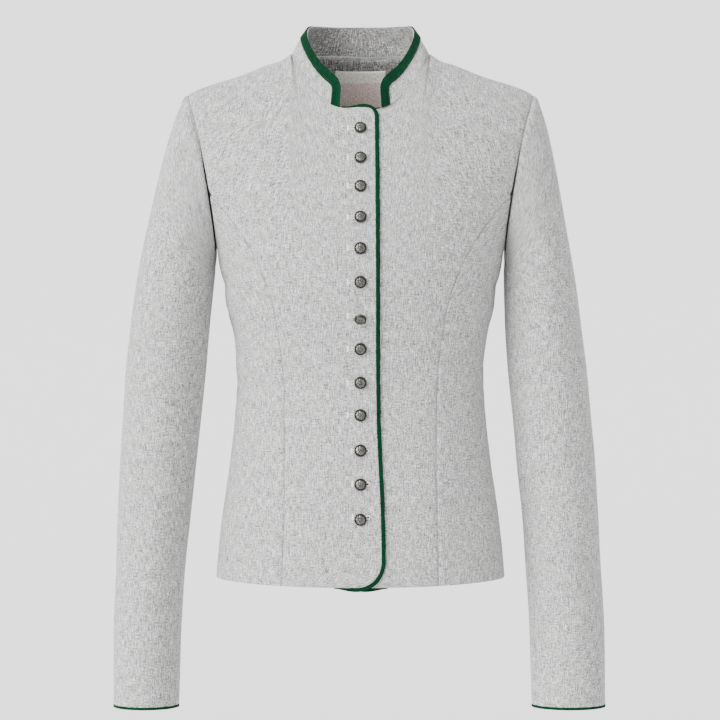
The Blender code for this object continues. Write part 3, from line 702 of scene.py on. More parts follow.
# Cloth panels
def dress_panel(node, face, side, across, rows, point_at, edges, phase, material, flip, top=None):
    """A panel on the body's curves, with its creases, puckered seams and worked edges."""
    outer = ease_underarm(point_at(across, rows[:, None]), rows)
    normals = body_normal(face, across, rows[:, None])
    first, last = edge_distances(outer)
    lengths = column_lengths(outer)
    relief = body_creases(face, side, outer)
    dips = np.zeros(outer.shape[:2])
    rises = np.zeros(outer.shape[:2])
    for kind, distance in zip(edges, (first, last)):
        if kind == "sewn":
            relief += seam_pucker(distance, lengths, phase)
            dips += sewn_edge(distance)
        else:
            dips += turned_edge(distance)
            rises += turned_edge(distance)
    dips = np.maximum(dips, turned_edge(lengths))
    rises = np.maximum(rises, turned_edge(lengths))
    if top is not None:
        shoulder = lengths[-1] - lengths
        dips[:, top] = np.maximum(dips[:, top], sewn_edge(shoulder[:, top]))
    outer = outer + normals * relief[..., None]
    for kind, edge, beside in zip(edges, (0, -1), (1, -2)):
        if kind == "sewn":
            outer[:, edge] = draw_back(outer[:, edge], normals[:, edge], outer[:, beside])
    uv = places_at(side * first + PANEL_SHIFT * phase, lengths.mean(axis=1)[:, None])
    piece = make_wall(f"wool_{node}", mirror(outer, side), mirror(normals, side), material, uv,
                      dips=dips, rises=rises, flip=flip)
    return finish(piece, "grey_wool", node), outer, normals


def front_points(side):
    """The body's front with its lap, for one side."""
    def point_at(across, rows):
        points = body_point(FRONT, across, rows)
        normals = body_normal(FRONT, across, rows)
        return points + normals * lap_offset(side, points[..., 0])[..., None]
    return point_at


def plain_points(face):
    """The body's face as it is, with no lap."""
    return lambda across, rows: body_point(face, across, rows)


def neck_steps(neck):
    """Even column shares: up to the neck point, then along the shoulder."""
    inner = np.linspace(0.0, neck, FRONT_NECK_COLUMNS * NECK_SPLIT + 1)
    return np.concatenate([inner, np.linspace(neck, 1.0, SHOULDER_COLUMNS * SHOULDER_SPLIT + 1)[1:]])


def make_front(word, side, material):
    rows, meeting = panel_rows(FRONT)
    start = edge_across(rows)
    stop = np.where(np.arange(len(rows)) <= meeting, seam_across(FRONT, rows), 1.0)
    neck = (neck_across() - start[-1]) / (1 - start[-1])
    widths = row_widths(plain_points(FRONT), start, stop, rows)
    across = start[:, None] + (stop - start)[:, None] * close_to_edges(widths, neck_steps(neck))
    shoulder = slice(FRONT_NECK_COLUMNS * NECK_SPLIT + len(NEAR_EDGE), None)
    return dress_panel(f"front_{word}_centre", FRONT, side, across, rows, front_points(side),
                       ("turned", "sewn"), 1.0 + 0.3 * side, material, side < 0, shoulder)


def make_side(word, face, side, material):
    rows, meeting = panel_rows(face)
    rows = rows[:meeting + 1]
    start = seam_across(face, rows)
    widths = row_widths(plain_points(face), start, np.ones(len(rows)), rows)
    shares = close_to_edges(np.maximum(widths, 0.5), np.linspace(0.0, 1.0, SIDE_STEPS + 1))
    across = start[:, None] + (1 - start)[:, None] * shares
    point_at = front_points(side) if face == FRONT else plain_points(BACK)
    flip = (side < 0) == (face == FRONT)
    dress_panel(f"{side_name(face)}_{word}_side", face, side, across, rows, point_at,
                ("sewn", "sewn"), 2.2 + 0.4 * side + 0.9 * face, material, flip)


def make_back(material):
    rows, meeting = panel_rows(BACK)
    stop = np.where(np.arange(len(rows)) <= meeting, seam_across(BACK, rows), 1.0)
    half = neck_steps(neck_across())
    steps = (1 + np.concatenate([-half[:0:-1], half])) / 2
    widths = row_widths(plain_points(BACK), -stop, stop, rows)
    across = stop[:, None] * (2 * close_to_edges(widths, steps) - 1)
    neck = SHOULDER_COLUMNS * SHOULDER_SPLIT + len(NEAR_EDGE)
    shoulder = np.ones(across.shape[1], bool)
    shoulder[neck:-neck] = False
    dress_panel("back_centre", BACK, 1, across, rows, plain_points(BACK),
                ("sewn", "sewn"), 4.1, material, True, shoulder)


# Sleeves and cuffs; how finely they are drawn, and the size of the cap's soft roll
SLEEVE_NEAR = (0.25, 0.6, 1.1, 1.8)
CUFF_NEAR = (1.6, 0.8, 0.3, 0.0)
CAP_LENGTH = 190.0
CAP_STEPS = 43
ARM_STEPS = 111
PANEL_STEPS = {"upper": 78, "under": 24}
ROUND_RADIUS = 46.0
CREASE_RADIUS = 38.0
ROLL_PLACE = 6.0
ROLL_WIDTH = 5.5
CUFF_STEPS = 140


def armhole_loop(turns):
    """Points and outward normals of the body's edge at each turn round the armhole."""
    fall = (1 - np.cos(turns)) / 2
    level = SHOULDER_TIP - (SHOULDER_TIP - UNDERARM) * fall
    points, normals = np.zeros((len(turns), 3)), np.zeros((len(turns), 3))
    for face in (FRONT, BACK):
        low, high = np.full(len(turns), 1.0), np.full(len(turns), 2.0)
        for _ in range(LOOP_ROUNDS):
            middle = (low + high) / 2
            below = body_point(face, 1.0, middle)[..., 2] < level
            low, high = np.where(below, middle, low), np.where(below, high, middle)
        chosen = (np.sin(turns) >= 0) == (face == FRONT)
        points[chosen] = body_point(face, 1.0, low)[chosen]
        normals[chosen] = body_normal(face, 1.0, low)[chosen]
    return points, normals


def cap_pull(which, turns):
    """The pull on the cap's curve at its start or end, for each turn."""
    top, side, foot = (np.array(CAP_PULL[which][key], float) for key in ("top", "side", "foot"))
    middle = (top + foot) / 2
    first = (middle + side * np.array([1, 0, 1])) / 2
    swing = (top - foot) / 2
    second = (middle - side * np.array([1, 0, 1])) / 2
    pull = (first[None, :] + swing[None, :] * np.cos(turns)[:, None]
            + second[None, :] * np.cos(2 * turns)[:, None])
    pull[:, 1] = side[1] * np.sin(turns)
    return pull


def sleeve_ring(side, turns, level):
    """The sleeve's section at a level; turn 0 is its outer side."""
    table = SLEEVE[side]
    outer, inner = table.at(level, "outer"), table.at(level, "inner")
    front, back = table.at(level, "front"), table.at(level, "back")
    out = (outer + inner) / 2 + (outer - inner) / 2 * np.cos(turns)
    deep = (front + back) / 2 + (front - back) / 2 * np.sin(turns)
    return np.stack([out, deep, np.full_like(out, level)], axis=-1)


def sleeve_grid(side, turns):
    """Grid from the cap's edge to the cuff: rows down the sleeve, columns round it."""
    loop, body_side = armhole_loop(turns)
    loop = loop + np.array([SEAM / 2, 0.0, 0.0])
    ring = sleeve_ring(side, turns, SLEEVE_TOP)
    start, stop = cap_pull("start", turns), cap_pull("end", turns)
    near = np.array(SLEEVE_NEAR) / CAP_LENGTH
    steps = np.concatenate([[0.0], near, np.linspace(0.0, 1.0, CAP_STEPS + 1)[1:]])
    rows = []
    for t in steps:
        rows.append(loop * (1 + 2 * t) * (1 - t) ** 2 + start * t * (1 - t) ** 2
                    + ring * (3 - 2 * t) * t ** 2 - stop * (1 - t) * t ** 2)
    last = CUFF + CUFF_EDGING
    arm = np.linspace(SLEEVE_TOP, last + 3.0, ARM_STEPS + 1)[1:]
    levels = np.concatenate([arm, last + np.array(CUFF_NEAR)])
    rows += [sleeve_ring(side, turns, level) for level in levels]
    weight = np.exp(-((np.arange(len(rows)) - len(steps)) / SLEEVE_REACH) ** 2)[1:-1, None, None]
    return ease(np.array(rows), SLEEVE_EASE, weight), body_side


def cap_fullness(distance, turns):
    """The cap is eased in over the seam allowance: a soft roll beside its seam."""
    share = smooth_step(0.5 + 0.8 * np.cos(turns))
    return (0.35 + 0.75 * share) * np.exp(-((distance - ROLL_PLACE) / ROLL_WIDTH) ** 2)


def make_sleeve_panel(word, part, side, turns, phase, material):
    grid, body_side = sleeve_grid(side, turns)
    ahead, _ = sleeve_grid(side, turns + 0.01)
    behind, _ = sleeve_grid(side, turns - 0.01)
    normals = unit(np.cross(ahead - behind, np.gradient(grid, axis=0)))
    weight = smooth_step(1.6 * np.cos(turns))[:, None]
    normals[0] = unit(normals[0] * (1 - weight) + body_side * weight)
    down = column_lengths(grid)
    first, last = edge_distances(grid)
    round_it = CREASE_RADIUS * (np.mod(turns + math.pi, 2 * math.pi) - math.pi)[None, :]
    relief = crease_height(SLEEVE_CREASES[side], round_it, grid[..., 2])
    relief *= smooth_step((down - 12) / 30) * smooth_step((down[-1:] - down) / 40)
    relief += cap_fullness(down, turns[None, :])
    dips = sewn_edge(down)
    for distance in (first, last):
        relief += seam_pucker(distance, down, phase)
        dips = np.maximum(dips, 0.8 * sewn_edge(distance))
    grid = grid + normals * relief[..., None]
    for edge, beside in ((0, 1), (-1, -2)):
        grid[:, edge] = draw_back(grid[:, edge], normals[:, edge], grid[:, beside])
    uv = places_at(side * first + SLEEVE_SHIFT * phase, -down.mean(axis=1)[:, None])
    node = f"sleeve_{word}_{part}"
    piece = make_wall(f"wool_{node}", mirror(grid, side), mirror(normals, side), material, uv,
                      dips=dips, flip=side < 0)
    finish(piece, "grey_wool", node)


def make_sleeve(word, side, material):
    first, second = np.radians(SLEEVE_SEAMS)
    near = np.array(NEAR_EDGE) / ROUND_RADIUS
    for part, start, stop, phase in (("upper", second - 2 * math.pi, first, 1.7),
                                     ("under", first, second, 3.1)):
        turns = np.linspace(start, stop, PANEL_STEPS[part])
        turns = np.concatenate([turns[:1], turns[0] + near, turns[2:-2], turns[-1] - near[::-1], turns[-1:]])
        make_sleeve_panel(word, part, side, turns, phase + side, material)


def round_section(low, high, foot, top, corner, steps=4):
    """Points of a strip's section as (reach, height) pairs, rounded all round."""
    points = []
    for reach, height, start in ((high, top, 0), (high, foot, -90), (low, foot, -180), (low, top, -270)):
        inward = -1 if reach == high else 1
        upward = -1 if height == top else 1
        for k in range(steps + 1):
            angle = math.radians(start + 90 - 90 * k / steps)
            points.append((reach + inward * corner + corner * math.cos(angle),
                           height + upward * corner + corner * math.sin(angle)))
    return points


def make_cuff_edging(word, side, material):
    turns = np.linspace(0.0, 2 * math.pi, CUFF_STEPS + 1)[:-1]
    outer = sleeve_ring(side, turns, CUFF)
    away = unit(np.stack([np.cos(turns), -np.sin(turns), np.zeros(CUFF_STEPS)], axis=-1))
    corners = round_section(-CLOTH - 0.1, 0.45, 0.0, CUFF_EDGING - 0.12, 0.9)
    swell = 0.08 * np.sin(9 * turns) + 0.06 * np.sin(23 * turns + 1.0)
    sections = [[point + way * (reach + more) + np.array([0, 0, up]) for reach, up in corners]
                for point, way, more in zip(outer, away, swell)]
    make_strip(f"edging_cuff_{word}", sections, side, side > 0, material, True)


# Collar; its rows lie closer together at its foot and at its top
COLLAR_LOW = (0.002, 0.012, 0.03, 0.06)
COLLAR_HIGH = (0.945, 0.97, 0.985, 0.995, 1.0)
COLLAR_STEPS = 61
CORNER_PLACES = 13
BAND_EDGE = (0.0, 0.02, 0.05, 0.1, 0.17)


def collar_foot(turn):
    """The neckline under the collar; turn 0 is the back, 90 degrees the neck point."""
    angle = np.radians(np.abs(turn))
    out = NECK_X * np.sin(angle)
    behind = np.abs(turn) <= 90
    level = np.where(behind, NECKLINE.at(out, "back"), NECKLINE.at(out, "front"))
    deep = np.where(behind, surface_depth(BACK, out, level), surface_depth(FRONT, out, level))
    return np.stack([np.sign(turn) * out, deep, level], axis=-1)


def collar_point(turn, rise):
    """Point of the collar's outer face; rise is the height up the stand from 0 to 1."""
    turn, rise = np.broadcast_arrays(np.asarray(turn, float), np.asarray(rise, float))
    size = np.abs(turn)
    top = np.stack([np.sign(turn) * COLLAR_TOP.at(size, "out"), COLLAR_TOP.at(size, "back"),
                    COLLAR_TOP.at(size, "up")], axis=-1)
    foot = collar_foot(turn)
    swell = (COLLAR_SWELL * np.sin(math.pi * rise))[..., None]
    away = unit((top + foot) * np.array([1.0, 1.0, 0.0]) + 1e-9)
    return foot + (top - foot) * rise[..., None] + away * swell


def collar_normal(turn, rise):
    along = collar_point(turn + 0.5, rise) - collar_point(turn - 0.5, rise)
    up = collar_point(turn, rise + 0.01) - collar_point(turn, rise - 0.01)
    return unit(np.cross(up, along))


def collar_end_turn():
    """Turn of the neckline's place where the collar ends, as the front's columns give it."""
    start = float(edge_across(np.array([2.0]))[0])
    across = start + (neck_across() - start) * COLLAR_END_COLUMN / FRONT_NECK_COLUMNS
    out = float(body_point(FRONT, across, 2.0)[0])
    return 180 - math.degrees(math.asin(out / NECK_X))


def collar_lengths():
    """Length round the collar from the centre back, for each turn."""
    fine = np.linspace(0.0, collar_end_turn(), 260)
    steps = np.linalg.norm(np.diff(collar_point(fine, 0.7), axis=0), axis=1)
    return fine, np.concatenate([[0.0], np.cumsum(steps)])


def collar_rise(length, full):
    """Height of the stand at a length from the centre back, round at its front."""
    into = np.clip((length - full + BAND_CORNER) / BAND_CORNER, 0.0, 1.0)
    return COLLAR_HEIGHT - BAND_CORNER * (1 - np.sqrt(1 - into ** 2))


def on_collar(places, lift):
    """Places given by length from the centre back and by height, laid on both halves."""
    turns, lengths = collar_lengths()
    whole = np.concatenate([places[..., :0:-1, :] * np.array([-1.0, 1.0]), places], axis=-2)
    turn = np.sign(whole[..., 0]) * np.interp(np.abs(whole[..., 0]), lengths, turns)
    rise = whole[..., 1] / COLLAR_HEIGHT
    normals = collar_normal(turn, rise)
    return whole[..., 0], collar_point(turn, rise) + normals * lift, normals


def paint_shade_inside(piece, material, count):
    """Give all but a wall's outer faces the wool's darker copy: painted shade inside the collar."""
    piece.data.materials.append(material)
    for face in piece.data.polygons[count:]:
        face.material_index = 1


def make_collar(material, inside):
    turns, lengths = collar_lengths()
    full = lengths[-1]
    corner = full - BAND_CORNER * (1 - np.sin(np.linspace(0.0, math.pi / 2, CORNER_PLACES)))
    half = np.concatenate([np.linspace(0.0, full - BAND_CORNER, COLLAR_STEPS + 1)[:-1], corner])
    place = np.concatenate([-half[:0:-1], half])
    turn = np.sign(place) * np.interp(np.abs(place), lengths, turns)
    height = collar_rise(np.abs(place), full) / COLLAR_HEIGHT
    steps = np.concatenate([COLLAR_LOW, np.linspace(0.1, 0.9, 13), COLLAR_HIGH])
    rise = steps[:, None] * height[None, :]
    outer = collar_point(turn[None, :], rise)
    normals = collar_normal(turn[None, :], rise)
    up = rise * COLLAR_HEIGHT
    rises = turned_edge((height * COLLAR_HEIGHT)[None, :] - up)
    dips = 0.18 * np.exp(-(up / 1.2) ** 2) + rises
    relief = 0.22 * np.sin(place / 17.0 + 0.6) * np.sin(math.pi * steps)[:, None]
    relief = relief + 0.15 * np.sin(place / 7.1) * np.exp(-(up / 7.0) ** 2)
    piece = make_wall("wool_collar", outer + normals * relief[..., None], normals, material,
                      places_at(place[None, :] + COLLAR_SHIFT, up), dips=dips, rises=rises, flip=True)
    # The stand's inner face and edges take the darker wool: painted shade
    paint_shade_inside(piece, inside, (outer.shape[0] - 1) * (outer.shape[1] - 1))
    finish(piece, "grey_wool", "collar_stand")


def band_paths(full):
    """The band's two edges as (length, height) places: its outer edge and its inner one."""
    straight = np.linspace(0.0, full - BAND_WIDTH - BAND_INNER_CORNER, 70)[:-1]
    edge = [(length, COLLAR_HEIGHT) for length in straight]
    inside = [(length, COLLAR_HEIGHT - BAND_WIDTH) for length in straight]
    for angle in np.linspace(0.0, math.pi / 2, 16):
        edge.append((full - BAND_CORNER * (1 - math.sin(angle)),
                     COLLAR_HEIGHT - BAND_CORNER * (1 - math.cos(angle))))
        inside.append((full - BAND_WIDTH - BAND_INNER_CORNER * (1 - math.sin(angle)),
                       COLLAR_HEIGHT - BAND_WIDTH - BAND_INNER_CORNER * (1 - math.cos(angle))))
    edge_top, inside_top = edge[-1][1], inside[-1][1]
    for share in np.linspace(0.0, 1.0, 10)[1:]:
        edge.append((full, edge_top * (1 - share) + BAND_FOOT * share))
        inside.append((full - BAND_WIDTH, inside_top * (1 - share) + BAND_FOOT * share))
    return np.array(edge), np.array(inside)


def make_band(material):
    """Felt band round the top edge of the stand and down its two front ends."""
    edge, inside = band_paths(collar_lengths()[1][-1])
    near = np.array(BAND_EDGE)
    shares = np.concatenate([near, np.linspace(0.25, 0.75, 7), 1 - near[::-1]])
    rows = edge[None] + (inside - edge)[None] * shares[:, None, None]
    length, outer, normals = on_collar(rows, SEAM + BAND_THICK)
    reach = BAND_WIDTH * np.minimum(shares, 1 - shares)[:, None]
    dips = turned_edge(reach, 0.6) + 0.05 * np.sin(length / 2.3) * np.exp(-reach)
    uv = places_at(length, BAND_SHIFT + BAND_WIDTH * shares[:, None])
    piece = make_wall("felt_collar_band", outer, normals, material, uv, BAND_THICK, dips)
    finish(piece, "green_felt", "collar_band")


def make_front_edging(word, side, panel, material):
    """Felt strip along the neckline, the front edge, its round corner and the hem."""
    _, outer, normals = panel
    neck = COLLAR_END_COLUMN * NECK_SPLIT + len(NEAR_EDGE)
    hem = int(np.searchsorted(edge_distances(outer[:1])[0][0], HEM_EDGING))
    path, facing = (np.concatenate([grid[-1, neck:0:-1], grid[::-1, 0], grid[0, 1:hem + 1]])
                    for grid in (outer, normals))
    keep = np.concatenate([[True], np.linalg.norm(np.diff(path, axis=0), axis=1) > 0.05])
    path, facing = path[keep], facing[keep]
    steps = column_lengths(path[:, None])[:, 0]
    even = np.linspace(EDGING_START, steps[-1], int(steps[-1] / EDGING_STEP))
    path, facing = (np.stack([np.interp(even, steps, line[:, k]) for k in range(3)], axis=-1)
                    for line in (path, facing))
    path = ease(path, EDGING_EASE)
    away = unit(np.cross(np.gradient(path, axis=0), unit(facing)))
    share = NECK_THIN + (1 - NECK_THIN) * smooth_step(even / NECK_TAPER) ** 2
    share *= HEM_THIN + (1 - HEM_THIN) * smooth_step((even[-1] - even) / HEM_TAPER)
    share *= 1 + 0.03 * np.sin(even / 3.1) + 0.03 * np.sin(even / 7.7 + 1)
    top = EDGING_PROUD if side < 0 else 0.0
    foot = top - EDGING_THICK
    sections = []
    for point, way, normal, wide in zip(path, away, unit(facing), EDGING_WIDTH * share):
        corner = min(0.95, 0.45 * wide)
        sections.append([point + way * reach + normal * height
                         for reach, height in round_section(0.05, wide, foot, top, corner)])
    make_strip(f"edging_front_{word}", sections, side, side < 0, material, False)


# Inside the back of the neck
def back_patch(name, node, slot, rows, reach, depth, thickness, material, frayed=0.0):
    """A piece on the inside of the back, as wide as reach (a share of the half back)."""
    across = np.linspace(-reach, reach, PATCH_STEPS[0])[None, :]
    rows = np.linspace(*rows, PATCH_STEPS[1])[:, None]
    normals = body_normal(BACK, across, rows)
    base = body_point(BACK, across, rows)
    width = edge_distances(base)[0]
    height = column_lengths(base)
    across_mm = width - width[:, -1:] / 2
    wave = frayed * (np.sin(across_mm / 5.0) * np.sin(height / 6.3 + 1.0)
                     + 0.6 * np.sin(height / 3.9 + across_mm / 9))
    points = base - normals * (depth + 0.4 * frayed + np.abs(wave))[..., None]
    near = np.minimum(np.minimum(width, width[:, -1:] - width), np.minimum(height, height[-1:] - height))
    rises = turned_edge(near, 0.45 * thickness)
    piece = make_wall(name, points, normals, material, places_at(across_mm + PATCH_SHIFT, height),
                      thickness, rises=rises, flip=True)
    finish(piece, slot, node)


# Buttons, with a low relief of petals inside a rolled rim; places are shares of the radius
PETALS = 8
BEADS = 28
BOSS_EDGE = 0.17
PETAL_START, PETAL_STOP, PETAL_POINT = 0.24, 0.62, 0.12
RIM, GROOVE, BEAD_RING = (0.915, 0.055), (0.835, 0.028), (0.75, 0.035)
FACE_EDGE = 0.83
BUTTON_TURNS = 112
BUTTON_RINGS = np.concatenate([np.linspace(0.0, 0.8, 22)[1:], np.linspace(0.81, 1.0, 13)])
BUTTON_UNDER = ((1.0, 0.10, 0.8), (0.93, 0.02, 1.0), (0.55, 0.0, 1.0), (0.28, -0.02, 1.0))
BUTTON_FOOT = -0.1


def ridge_at(share, place):
    """A round ridge at a place given by its middle and its width."""
    middle, width = place
    return np.exp(-((share - middle) / width) ** 2)


def button_profile(share, angle):
    """Height of the domed face at a share of the radius, and how deep its hollows lie."""
    dome = 0.40 + 0.46 * np.sqrt(np.clip(1 - (share / 0.86) ** 2, 0.0, 1.0))
    height = np.where(share < FACE_EDGE, dome, 0.30 + 0.17 * ridge_at(share, RIM))
    groove = ridge_at(share, GROOVE)
    petals = np.abs(np.cos(PETALS / 2 * angle))
    tips = smooth_step((share - PETAL_STOP - PETAL_POINT * petals) / 0.06)
    inside = smooth_step((share - PETAL_START) / 0.08) * (1 - tips)
    vein = np.exp(-(np.sin(PETALS / 2 * angle) * share / 0.05) ** 2) * inside
    relief = 0.075 * inside * (0.25 + 0.75 * petals) - 0.03 * vein
    boss = 0.08 * (1 - smooth_step((share - BOSS_EDGE) / 0.05))
    beads = 0.03 * np.cos(BEADS * angle) * ridge_at(share, BEAD_RING)
    ground = (1 - inside) * smooth_step((share - 0.2) / 0.05) * (1 - smooth_step((share - 0.74) / 0.05))
    hollow = np.clip(0.9 * groove + 0.55 * ground + 0.5 * vein, 0.0, 1.0)
    return height + relief + boss + beads - 0.12 * groove, hollow


def button_mesh(start):
    """Points of a button that faces up, how deep each lies, and its faces."""
    angle = np.linspace(0, 2 * math.pi, BUTTON_TURNS, endpoint=False) + start
    height, hollow = button_profile(BUTTON_RINGS[:, None], angle[None, :])
    height = height * smooth_step((1.02 - BUTTON_RINGS[:, None]) / 0.10)
    rings = list(zip(BUTTON_RINGS, height, hollow)) + list(BUTTON_UNDER)
    crown = button_profile(np.zeros(1), np.zeros(1))[0][0]
    points, worn = [(0.0, 0.0, crown * BUTTON_HEIGHT)], [0.0]
    for reach, high, deep in rings:
        ring = np.stack(np.broadcast_arrays(BUTTON_RADIUS * reach * np.cos(angle),
                                            BUTTON_RADIUS * reach * np.sin(angle),
                                            BUTTON_HEIGHT * high), axis=-1)
        points += [tuple(p) for p in ring]
        worn += list(np.broadcast_to(deep, BUTTON_TURNS))
    points.append((0.0, 0.0, BUTTON_FOOT))
    worn.append(1.0)
    last = 1 + (len(rings) - 1) * BUTTON_TURNS
    faces = []
    for k in range(BUTTON_TURNS):
        ahead = (k + 1) % BUTTON_TURNS
        faces.append((0, 1 + k, 1 + ahead))
        for base in range(1, last, BUTTON_TURNS):
            faces.append((base + k, base + BUTTON_TURNS + k, base + BUTTON_TURNS + ahead, base + ahead))
        faces.append((len(points) - 1, last + ahead, last + k))
    return np.array(points), worn, faces


def make_button(number, level, cloth, material):
    """A domed shank button, sewn on through the fronts; some have tipped on their thread."""
    points, worn, faces = button_mesh(0.7 * number)
    place, normal = on_front(cloth, 0.0, level)
    beside, _ = on_front(cloth, np.zeros(2), level + np.array([-BUTTON_REACH, BUTTON_REACH]))
    tip = math.radians(BUTTON_TIPS.get(number, (number * 37 % 7) - 3))
    lift = BUTTON_SEAT + max(0.0, *((beside - place) @ normal)) + BUTTON_RADIUS * abs(math.sin(tip))
    spin = Vector((0.0, 0.0, 1.0)).rotation_difference(Vector(normal)).to_matrix()
    tilt = Matrix.Rotation(tip, 3, "X")
    turned = points @ np.array(spin).T @ np.array(tilt).T + place + normal * lift
    piece = make_object(f"pewter_button_{number:02d}", turned, faces, material)
    layer = piece.data.attributes.new("hollow", "FLOAT", "POINT")
    layer.data.foreach_set("value", np.array(worn, dtype=np.float32))
    finish(piece, "old_pewter", f"button_{number:02d}")


# Sewing, laid along paths by Geometry Nodes
STITCH_INPUTS = (("Spacing", 0.6), ("Stitch Length", 1.6), ("Rise", 0.25), ("Thread", 0.2),
                 ("Turn", 0.0), ("Unevenness", 0.1))
STITCH_BENDS = 4
THREAD_SIDES = 5
RING_STITCH = {"Spacing": 0.4 * MM, "Stitch Length": STITCH_DEEP * MM, "Rise": 0.6 * MM,
               "Thread": 0.2 * MM, "Turn": 0.0, "Unevenness": 0.12}
BAR_STITCH = {**RING_STITCH, "Stitch Length": 2.2 * MM, "Rise": 1.3 * MM, "Spacing": 0.34 * MM}
BAND_STITCH = {"Spacing": 2.6 * MM, "Stitch Length": 1.7 * MM, "Rise": 0.16 * MM,
               "Thread": 0.13 * MM, "Turn": math.pi / 2, "Unevenness": 0.05}
BAND_STITCH_IN = 0.12
THREAD_SUNK = 0.05
RING_SEED, BAR_SEED, BAND_SEED = 11, 12, 5


def stitch_tree(name, material):
    """Stitches at even steps along a path, each a bent thread that stands on the cloth."""
    tree = bpy.data.node_groups.new(name, "GeometryNodeTree")
    face = tree.interface
    face.new_socket("Geometry", in_out="INPUT", socket_type="NodeSocketGeometry")
    for label, value in STITCH_INPUTS:
        socket = face.new_socket(label, in_out="INPUT", socket_type="NodeSocketFloat")
        socket.default_value = value
    face.new_socket("Seed", in_out="INPUT", socket_type="NodeSocketInt")
    face.new_socket("Geometry", in_out="OUTPUT", socket_type="NodeSocketGeometry")

    def node(kind, inputs=(), **settings):
        """A new node, its inputs linked to sockets or set to values."""
        made = tree.nodes.new(kind)
        for setting, value in settings.items():
            setattr(made, setting, value)
        for label, value in dict(inputs).items():
            if isinstance(value, bpy.types.NodeSocket):
                tree.links.new(value, made.inputs[label])
            else:
                made.inputs[label].default_value = value
        return made

    def calc(operation, first, second):
        return node("ShaderNodeMath", {0: first, 1: second}, operation=operation).outputs[0]

    given = node("NodeGroupInput").outputs
    path = node("GeometryNodeMeshToCurve", {"Mesh": given["Geometry"]})
    even = node("GeometryNodeResampleCurve",
                {"Curve": path.outputs["Curve"], "Length": given["Spacing"]}, mode="LENGTH")

    half = calc("MULTIPLY", given["Stitch Length"], 0.5)
    start = node("ShaderNodeCombineXYZ", {"Y": calc("MULTIPLY", half, -1.0)}).outputs[0]
    stop = node("ShaderNodeCombineXYZ", {"Y": half}).outputs[0]
    top = node("ShaderNodeCombineXYZ", {"Z": given["Rise"]}).outputs[0]
    arch = node("GeometryNodeCurveQuadraticBezier",
                {"Resolution": STITCH_BENDS, "Start": start, "Middle": top, "End": stop})
    section = node("GeometryNodeCurvePrimitiveCircle",
                   {"Resolution": THREAD_SIDES, "Radius": given["Thread"]})
    thread = node("GeometryNodeCurveToMesh", {"Curve": arch.outputs["Curve"], "Fill Caps": True,
                                              "Profile Curve": section.outputs["Curve"]})

    up = node("GeometryNodeInputNamedAttribute", {"Name": "up"}, data_type="FLOAT_VECTOR")
    tangent = node("GeometryNodeInputTangent")
    stand = node("FunctionNodeAxesToRotation",
                 {"Primary Axis": up.outputs["Attribute"], "Secondary Axis": tangent.outputs["Tangent"]},
                 primary_axis="Z", secondary_axis="X")

    wander = node("FunctionNodeRandomValue", {"Seed": given["Seed"]}, data_type="FLOAT")
    bounds = [socket for socket in wander.inputs if socket.type == "VALUE"]
    tree.links.new(calc("MULTIPLY", given["Unevenness"], -1.0), bounds[0])
    tree.links.new(given["Unevenness"], bounds[1])
    uneven = [socket for socket in wander.outputs if socket.type == "VALUE"][0]
    slant = node("ShaderNodeCombineXYZ", {"Z": calc("ADD", given["Turn"], uneven)})
    swing = node("FunctionNodeEulerToRotation", {0: slant.outputs[0]})
    turned = node("FunctionNodeRotateRotation", {0: stand.outputs[0], 1: swing.outputs[0]},
                  rotation_space="LOCAL")

    lay = node("GeometryNodeInstanceOnPoints",
               {"Points": even.outputs["Curve"], "Instance": thread.outputs["Mesh"],
                "Rotation": turned.outputs[0], "Scale": calc("ADD", uneven, 1.0)})
    real = node("GeometryNodeRealizeInstances", {"Geometry": lay.outputs["Instances"]})
    threads = node("GeometryNodeSetMaterial",
                   {"Geometry": real.outputs["Geometry"], "Material": material})
    node("NodeGroupOutput", {"Geometry": threads.outputs["Geometry"]})
    return tree


def stitch_paths(name, paths, tree, material, sizes, seed):
    """Make stitches along (points, ups) paths and return them as one plain mesh."""
    vertices, edges, ups = [], [], []
    for points, normals in paths:
        base = len(vertices)
        vertices += [tuple(point * MM) for point in points]
        ups += [tuple(normal) for normal in normals]
        edges += [(base + k, base + k + 1) for k in range(len(points) - 1)]
    mesh = bpy.data.meshes.new(name)
    mesh.from_pydata(vertices, edges, [])
    layer = mesh.attributes.new("up", "FLOAT_VECTOR", "POINT")
    layer.data.foreach_set("vector", np.array(ups, dtype=np.float32).ravel())
    guide = bpy.data.objects.new(name + "_path", mesh)
    bpy.context.scene.collection.objects.link(guide)
    modifier = guide.modifiers.new("stitches", "NODES")
    modifier.node_group = tree
    sockets = {s.name: s.identifier for s in tree.interface.items_tree if s.in_out == "INPUT"}
    for label, value in sizes.items():
        modifier[sockets[label]] = value
    modifier[sockets["Seed"]] = seed
    evaluated = guide.evaluated_get(bpy.context.evaluated_depsgraph_get())
    plain = bpy.data.meshes.new_from_object(evaluated)
    plain.name = name
    plain.materials.clear()
    plain.materials.append(material)
    plain.polygons.foreach_set("material_index", np.zeros(len(plain.polygons), dtype=np.int32))
    bpy.data.objects.remove(guide)
    plain.shade_smooth()
    piece = bpy.data.objects.new(name, plain)
    bpy.context.scene.collection.objects.link(piece)
    return piece


def hole_path(cloth, slide, level, reach):
    """Round the slit at a distance: along the top, round the eyelet and back."""
    line = np.linspace(HOLE_START, HOLE_STOP - HOLE_EYE, LINE_STEPS)
    angle = np.radians(np.linspace(EYE_OPENING, -EYE_OPENING, EYE_STEPS))
    wide = HOLE_EYE * EYE_SHARE + reach
    eye = np.stack([HOLE_STOP + wide * np.cos(angle), wide * np.sin(angle)], axis=-1)
    places = np.concatenate([places_at(line, reach), eye, places_at(line[::-1], -reach)])
    return on_front(cloth, slide + places[:, 0], level + places[:, 1], THREAD_LIFT)


